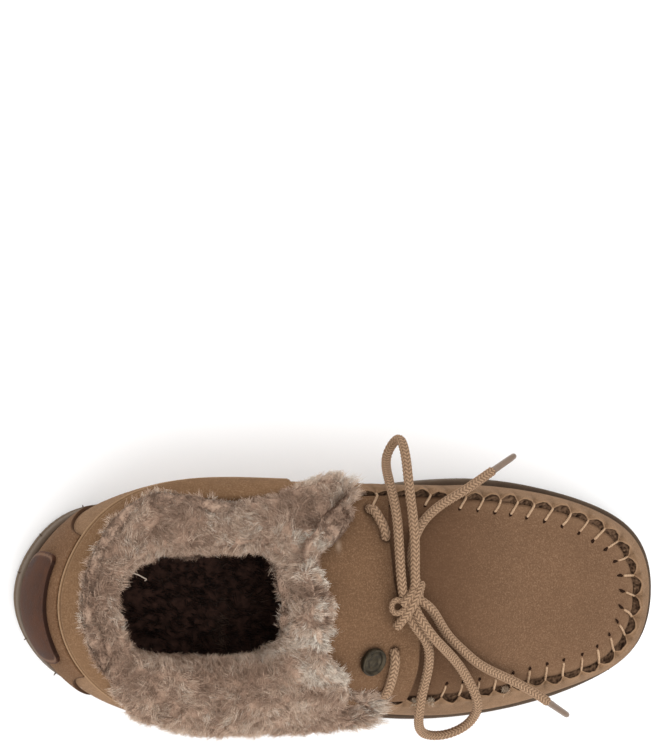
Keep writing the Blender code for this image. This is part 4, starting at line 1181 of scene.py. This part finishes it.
def makeButton():
    look = Look("button bronze", {"Metallic": 0.85, "Specular IOR Level": 0.5})
    tarnish = look.cloud(2.2 * mm, 4)
    look.feed("Base Color", look.mix(tarnish, tint(44, 40, 33), tint(84, 74, 58)))
    look.feed("Roughness", 0.34 + tarnish * 0.22)
    look.roughen(0.8 * mm, 0.05 * mm, 0.5, 3)
    middle = onSaddle(*button["spot"], form["gap"])
    normal = unit(instepNormal(*button["spot"]) + [button["tilt"], 0, 0])
    side = unit(np.cross(normal, [0, 1, 0]))
    other = np.cross(normal, side)
    turn = np.arange(button["columns"]) * 2 * math.pi / button["columns"]
    ring = np.cos(turn)[:, None] * side + np.sin(turn)[:, None] * other
    places = [middle + normal * button["height"] * up + ring * button["radius"] * max(out, 0.004)
              for out, up in buttonProfile]
    piece = addPiece("snapButton", np.array(places),
                     gridFaces(len(places), button["columns"], closeColumns=True), look,
                     facing=middle - normal * 5 * mm)
    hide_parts("button")


makeButton()
print("button")


# Dark pile inside the shoe

lining = {"reach": 1.0 * mm, "columns": 240, "rows": 14, "strips": 120, "steps": 40,
          "locks": 1350, "fold": -55 * mm, "streak": (-59 * mm, -12 * mm)}


def streakAt(places):
    # the brushed streak beside the fold across the foot bed
    along, across = lining["streak"]
    return bell(places[..., 0] - along, 3.2 * mm) * bell(places[..., 1] - across, 13 * mm, 4)


def pileLook():
    look = Look("dark pile", {"Roughness": 0.9, "Specular IOR Level": 0.12, "Sheen Weight": 0.25,
                              "Sheen Roughness": 0.45, "Sheen Tint": tint(150, 118, 102)})
    look.feed("Base Color", look.mix(look.cloud(3.2 * mm), tint(40, 26, 21), tint(78, 54, 45)))
    look.roughen(0.8 * mm, 0.4 * mm, 0.8, 3)
    return look


def makeLining():
    look = pileLook()
    spots = np.linspace(0, stations, lining["columns"] + 1)[:-1]
    rows = [wall(spots, height, -(form["wall"] + lining["reach"]
                                  + waves(wall(spots, height), 12 * mm, 51) * 0.5 * mm))
            for height in np.linspace(0.03, 0.9, lining["rows"])]
    piece = addPiece("pileLining", np.array(rows),
                     gridFaces(lining["rows"], lining["columns"], closeColumns=True), look,
                     facing=None)
    # the foot bed, in strips from the outer to the inner side
    count, across = lining["strips"], lining["steps"]
    inset = form["rimLedge"] + form["wall"] + 2 * form["gap"]
    ring = soleOutline(np.arange(2 * count) * stations / (2 * count), inset)
    share = np.linspace(0, 1, across)[None, :, None]
    strip = np.arange(1, count)
    places = ring[strip][:, None] * (1 - share) + ring[2 * count - strip][:, None] * share
    bed = deck(places[..., 0]) + form["gap"] + 4 * mm
    edge = (2 * share[..., 0] - 1) ** 8
    past = places[..., 0] - lining["fold"] + waves(places, 20 * mm, 53) * 1.5 * mm
    fold = bell(past + 4.5 * mm, 3.5 * mm) * 2.2 - bell(past, 1.4 * mm) * 2.0
    places[..., 2] = (bed + waves(places, 17 * mm, 52) * 0.8 * mm - edge * 1.5 * mm
                      + fold * mm * (1 - edge))
    foot = addPiece("pileInsole", places, gridFaces(*places.shape[:2]), look)
    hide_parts("insole")
    return np.array(rows), places


liningRows, bedPlaces = makeLining()
print("lining")


# Sheepskin cuff: a soft body and the locks of wool on it

fur = {"columns": 250, "outline": 60, "locks": 9200, "batches": 3, "hairs": 14,
       "length": 3.7 * mm, "width": 0.23 * mm, "lockRadius": 1.7 * mm, "curl": 0.8 * mm,
       "curlTurn": 4.6, "stray": 0.42 * mm, "gather": 0.3, "lean": 0.7,
       "rollRise": (-48 * mm, -36 * mm), "rollHalf": 32 * mm,
       "insetAt": [0, 4, 5.5, 8, 10, 12.5, 15], "inset": [4.6, 4.4, 3.2, 2.7, 2.6, 2.4, 4.6]}
furTable = {
    "inAlong": [.123, .135, .168, .235, .304, .328, .338, .343, .343, .340, .330, .304, .245,
                .190, .138],
    "inAcross": [0, -.120, -.175, -.185, -.182, -.155, -.110, -.045, .035, .108, .150, .168,
                 .170, .164, .110],
    "inLow": [.55, .55, .54, .53, .53, .58, .72, .84, .86, .84, .72, .60, .54, .54, .55],
    "outAlong": [.056, .080, .126, .230, .350, .450, .512, .430, .413, .390, .462, .410, .290,
                 .155, .078],
    "outAcross": [-.010, -.205, -.415, -.522, -.536, -.528, -.430, -.170, .040, .250, .435,
                  .528, .405, .425, .245],
    "outLow": [.93, .93, .70, .50, .46, .50, .66, .98, 1.04, 1.00, .74, .68, .84, .89, .92],
    "crest": [1.00, 1.00, 1.01, 1.01, 1.03, 1.10, 1.19, 1.27, 1.30, 1.24, 1.14, 1.04, .99, .98,
              1.00],
    "edge": [.99, .99, .96, .92, .90, .86, .86, 1.16, 1.24, 1.16, .92, .94, .94, .95, .98]}
# Share of the way out, level, and which side's height it takes
furOutline = [(.10, .00, "inner"), (.01, .20, "inner"), (.00, .45, "inner"), (.02, .70, "inner"),
              (.11, .90, "inner"), (.26, 1.0, "inner"), (.44, .98, "between"),
              (.62, .97, "between"), (.79, 1.0, "outer"), (.92, .86, "outer"),
              (1.0, .55, "outer"), (.99, .20, "outer"), (.90, .00, "outer"), (.62, .00, "under"),
              (.34, .00, "under")]


def furSurface(spots, outline):
    column = {name: closedSpline(values, spots) for name, values in furTable.items()}
    inner = onPlan(column["inAlong"], column["inAcross"])
    outer = onPlan(column["outAlong"], column["outAcross"])
    inLow, outLow, crest, edge = (form["instepHeight"] * column[name]
                                  for name in ("inLow", "outLow", "crest", "edge"))
    section = []
    for out, level, side in furOutline:
        place = inner + (outer - inner) * out
        if side == "inner":
            place[:, 2] = inLow + (crest - inLow) * level
        elif side == "outer":
            place[:, 2] = outLow + (edge - outLow) * level
        elif side == "between":
            place[:, 2] = crest + (edge - crest) * ((out - 0.26) / (0.79 - 0.26)) ** 2
        else:
            place[:, 2] = inLow + (outLow - inLow) * out
        section.append(place)
    return closedSpline(np.array(section), outline)


def gridNormals(grid, closeRows=False, closeColumns=False):
    def slope(axis, closed):
        if closed:
            return np.roll(grid, -1, axis) - np.roll(grid, 1, axis)
        return np.gradient(grid, axis=axis)
    return unit(np.cross(slope(0, closeRows), slope(1, closeColumns)))


def woolLook(name, stops, root, tips=0.5):
    look = Look(name, {"Roughness": 0.9, "Specular IOR Level": 0.08, "Sheen Weight": 0.06,
                       "Sheen Roughness": 0.4, "Sheen Tint": (1, 0.9, 0.8, 1)})
    colors = [(spot, tint(*color)) for spot, color in stops]
    ramp = look.node("ShaderNodeValToRGB", {"stops": colors}, [look.mark("tone")])
    # hairs darken to the root colour towards their roots: painted shade deep in the wool
    color = look.mix(look.clamp(look.mark("rise"), tips, 0.0), ramp, tint(*root))
    fine = look.cloud(1.6 * mm, 3, 0.7, 0.35, 0.65)
    look.feed("Base Color", look.mix(0.38 - fine * 0.38, color, tint(*root)))
    look.feed("Normal", look.bump(fine, 0.9 * mm, 0.7))
    return look


def growHairs(name, roots, normals, leans, facts, look, seed):
    # ribbons in locks: each lock's hairs start together and lean and curl to one tip
    draw = np.random.default_rng(seed)
    locks, hairs, steps = len(roots), facts["hairs"], 3
    side = unit(np.cross(normals, draw.normal(size=(locks, 3))))
    other = np.cross(normals, side)
    length = facts["length"] * draw.uniform(0.7, 1.25, locks) * facts.get("longer", 1)
    phase, twist = draw.uniform(0, 2 * math.pi, locks), draw.choice([-1, 1], locks)
    curl = facts["curl"] * draw.uniform(0.6, 1.3, locks)
    spread = facts["lockRadius"] * np.sqrt(draw.uniform(0, 1, (locks, hairs)))
    angle = draw.uniform(0, 2 * math.pi, (locks, hairs))
    offset = (side[:, None] * (np.cos(angle) * spread)[..., None]
              + other[:, None] * (np.sin(angle) * spread)[..., None])
    reach = length[:, None] * draw.uniform(0.72, 1.12, (locks, hairs))
    stray = draw.normal(size=(locks, hairs, 3)) * facts["stray"]
    rise = np.linspace(0, 1, steps)
    line = []
    for share in rise:
        turn = phase + twist * share * facts["curlTurn"]
        swirl = (side * (np.cos(turn) * curl)[:, None]
                 + other * (np.sin(turn) * curl)[:, None]) * share
        path = (roots[:, None] - normals[:, None] * 0.6 * mm
                + offset * (1 - facts["gather"] * share)
                + normals[:, None] * (reach * share * (1 - facts["lean"] * 0.5 * share))[..., None]
                + leans[:, None] * (reach * facts["lean"] * share ** 1.5)[..., None]
                + swirl[:, None] + stray * share ** 2)
        line.append(path)
    line = np.array(line).reshape(steps, -1, 3)
    ahead = unit(np.gradient(line, axis=0))
    flat = unit(np.cross(ahead, unit(draw.normal(size=line.shape[1:]))[None]))
    width = facts["width"] * (1 - 0.75 * rise ** 1.5) / 2
    places = np.stack([line - flat * width[:, None, None], line + flat * width[:, None, None]], 1)
    places = places.transpose(2, 0, 1, 3)
    count = locks * hairs
    corner = np.arange(count)[:, None] * 2 * steps + np.arange(steps - 1)[None, :] * 2
    faces = np.stack([corner, corner + 1, corner + 3, corner + 2], -1).reshape(-1, 4)
    tone = np.clip(facts["tone"][:, None] + draw.normal(size=(locks, hairs)) * 0.10, 0, 1)
    tones = np.repeat(tone.reshape(-1, 1), 2 * steps, 1)
    rises = np.tile(np.repeat(rise, 2), (count, 1))
    return addPiece(name, places, faces, look, {"tone": tones, "rise": rises}, False, None)


def scatter(grid, normals, weight, count, draw, closeRows, closeColumns):
    # random places on a grid's faces, by area and weight
    def following(array):
        ahead = np.roll(array, -1, 0) if closeRows else array[1:]
        base = array if closeRows else array[:-1]
        both = []
        for part in (base, ahead):
            both.append(part if closeColumns else part[:, :-1])
            both.append(np.roll(part, -1, 1) if closeColumns else part[:, 1:])
        return both
    a, b, c, d = following(grid)
    area = np.linalg.norm(np.cross(b - a, c - a), axis=-1)
    chanceOf = (area * sum(following(weight)) / 4).ravel()
    pick = draw.choice(len(chanceOf), count, p=chanceOf / chanceOf.sum())
    s, t = draw.uniform(size=(2, count, 1))

    def at(array):
        a, b, c, d = (part.reshape(-1, array.shape[-1])[pick] for part in following(array))
        return (a * (1 - s) + c * s) * (1 - t) + (b * (1 - s) + d * s) * t
    return at(grid), at(normals)


def onRoll(places):
    # the folded front roll over the saddle
    return (eased(*fur["rollRise"], places[..., 0])
            * (np.abs(places[..., 1]) < fur["rollHalf"]))


def makeFur():
    spots = np.arange(fur["columns"]) * len(furTable["crest"]) / fur["columns"]
    outline = np.arange(fur["outline"]) * len(furOutline) / fur["outline"]
    grid = furSurface(spots, outline)
    normals = gridNormals(grid, True, True)
    if ((grid - grid.mean(0, keepdims=True)) * normals).sum() < 0:
        normals = -normals
    lumps = waves(grid, 15 * mm, 61) * 0.9 * mm + waves(grid, 6 * mm, 62) * 0.45 * mm
    roll = onRoll(grid)
    creases = np.clip(np.sin(grid[..., 1] / (15 * mm) * 2 * math.pi + 1.1
                             + 0.9 * np.sin(grid[..., 1] / (9 * mm))), -1, 0.35)
    inset = np.interp(outline, fur["insetAt"], fur["inset"])[:, None] * mm
    # the body keeps back where its outer edge would lie bare, most beside the button
    beside = bell(grid[..., 1] + 23 * mm, 13 * mm, 4) * 5.6
    uncovered = (eased(-46 * mm, -26 * mm, grid[..., 0]) * eased(6.5, 8.5, outline)[:, None]
                 * eased(14, 12, outline)[:, None] * (1.0 + beside) * mm)
    # a furrow parts the roll from the fringe in front of it
    furrow = roll * bell(outline - 7.6, 0.45)[:, None]
    body = grid + normals * (lumps - inset - uncovered + roll * creases * 1.3 * mm
                             - furrow * 1.9 * mm)[..., None]
    ends = [(0.0, (154, 126, 106)), (0.35, (206, 174, 151)), (0.65, (240, 212, 188)),
            (1.0, (255, 244, 228))]
    look = woolLook("sheepskin wool", ends, (142, 115, 97))
    # tone: broad patches and a lighter roll, with painted shade in the roll's creases and in the
    # furrow
    patches = (0.44 + 0.22 * waves(grid, 30 * mm, 63) + 0.18 * waves(grid, 9 * mm, 64)
               + roll * (0.38 + 0.42 * creases) - 0.50 * furrow
               + 0.20 * eased(8.5, 11, outline)[:, None])
    # the body's rise darkens it towards the root colour: painted shade between the locks
    piece = addPiece("woolBody", body, gridFaces(*body.shape[:2], True, True), look,
                     {"tone": np.clip(patches * 0.6, 0, 1),
                      "rise": np.full(grid.shape[:2], 0.34)}, facing=None)
    fixFacing(piece)
    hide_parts("fur_cuff")
    # hardly any locks underneath, where the cuff lies on the band
    shows = np.where((outline > 13.8) | (outline < 12.3), 1.0, 0.02)
    shows = np.tile(shows[:, None], (1, fur["columns"]))
    draw = np.random.default_rng(71)
    carried = np.concatenate([normals, patches[..., None]], -1)
    for batch in range(fur["batches"]):
        count = int(fur["locks"] / fur["batches"] * hairShare)
        roots, carriedHere = scatter(body, carried, shows, count, draw, True, True)
        facing, tone = unit(carriedHere[:, :3]), carriedHere[:, 3]
        downhill = facing * facing[:, 2:] - [0, 0, 1.0]
        swirl = np.stack([waves(roots, 17 * mm, 84 + axis) for axis in range(3)], -1)
        leans = (downhill * 0.9 + swirl * 0.75 + draw.normal(size=roots.shape) * 0.28
                 + np.outer(onRoll(roots), [0.8, 0, 0]))
        leans = unit(leans - facing * (leans * facing).sum(1, keepdims=True))
        tone = tone + 0.10 * waves(roots, 5 * mm, 81) + draw.normal(size=count) * 0.11
        # the two front corners end in longer tufts, which point to the toe
        tuft = (eased(-14 * mm, 0, roots[:, 0]) * eased(-30 * mm, -38 * mm, roots[:, 1])
                + eased(-22 * mm, -10 * mm, roots[:, 0]) * eased(38 * mm, 44 * mm, roots[:, 1]))
        toToe = (np.outer(tuft, [1.0, 0, 0])
                 + np.outer(tuft * (roots[:, 1] < 0), [0, 0.3, 0.05]))
        leans = unit(leans * (1 - 0.8 * tuft)[:, None] + toToe)
        hairs = growHairs(f"woolLocks{batch}", roots, facing, leans,
                          dict(fur, tone=tone + 0.25 * tuft, longer=1 + 0.9 * tuft), look,
                          90 + batch)
    print("wool")


makeFur()


# Hairs of the dark pile, with a pale thread on them

looseThread = [(-105.5, 13.0, 50), (-103.6, 12.2, 51.5), (-101.0, 11.4, 51.2),
               (-98.6, 10.2, 50.2), (-97.0, 9.4, 49.0), (-97.6, 8.8, 48.4)]


def makePile():
    look = woolLook("pile hairs", [(0, (26, 17, 13)), (0.5, (48, 33, 27)), (1, (122, 98, 84))],
                    (20, 12, 9), 0.6)
    draw = np.random.default_rng(72)
    bedNormals = gridNormals(bedPlaces)
    bedNormals *= np.sign(bedNormals[..., 2:3].mean())
    seen = eased(-5 * mm, -25 * mm, bedPlaces[..., 0])
    count = int(lining["locks"] * hairShare)
    roots, facing = scatter(bedPlaces, bedNormals, seen + 1e-4, count, draw, False, False)
    wallNormals = -gridNormals(liningRows, False, True)
    inside = np.array([0, 0, 30 * mm]) - liningRows
    wallNormals *= np.sign((wallNormals * inside).sum())
    wallSeen = eased(0, -25 * mm, liningRows[..., 0])
    moreRoots, moreFacing = scatter(liningRows, wallNormals, wallSeen + 1e-4, count, draw, False,
                                    True)
    roots = np.concatenate([roots, moreRoots])
    facing = unit(np.concatenate([facing, moreFacing]))
    wild = draw.normal(size=roots.shape) * 0.5 + [0.9, -0.3, -0.1]
    leans = unit(wild - facing * (wild * facing).sum(1, keepdims=True))
    tone = (0.30 + 0.20 * waves(roots, 14 * mm, 83) + draw.normal(size=len(roots)) * 0.10
            + 0.65 * streakAt(roots))
    facts = {"hairs": 6, "length": 4.2 * mm, "width": 0.32 * mm, "lockRadius": 1.6 * mm,
             "tone": tone, "curl": 0.3 * mm, "curlTurn": 2.0, "stray": 0.4 * mm, "gather": 0.5,
             "lean": 0.9}
    hairs = growHairs("pileHairs", roots, facing, leans, facts, look, 95)
    pale = Look("loose thread", {"Roughness": 0.7, "Base Color": tint(214, 196, 178)})
    path, _ = evenRoute(np.array(looseThread) * mm, 0.4 * mm)
    thread = tubeParts(path, np.full(len(path), 0.22 * mm), 8)
    addPiece("looseThread", *thread, pale, facing=None)


makePile()
print("pile")


# Wisps of the lining's wool between three stitches of the outer side

fluff = {"places": [31, 39, 74], "locks": [4, 5, 4], "scatter": 1.1 * mm, "depth": 2.2 * mm}


def makeFluff():
    look = woolLook("seam wool", [(0, (222, 194, 166)), (1, (255, 240, 216))], (190, 158, 128))
    draw = np.random.default_rng(74)
    count = sum(fluff["locks"])
    walked = (np.repeat(fluff["places"], fluff["locks"]) * mm
              + draw.normal(size=count) * fluff["scatter"])
    spots = spotAlong(walked)
    roots = wall(spots, 1.0, -fluff["depth"], 0.1 * mm)
    outward = wallNormal(spots, 1.0)
    facing = unit(outward * 0.4 + [0, 0, 1.0])
    leans = unit(outward + draw.normal(size=roots.shape) * 0.6)
    facts = {"hairs": 22, "length": 2.4 * mm, "width": 0.24 * mm, "lockRadius": 1.1 * mm,
             "tone": draw.uniform(0.3, 0.9, count), "curl": 0.7 * mm, "curlTurn": 4.0,
             "stray": 0.5 * mm, "gather": 0.3, "lean": 0.9}
    growHairs("seamFluff", roots, facing, leans, facts, look, 96)


makeFluff()
print("fluff")
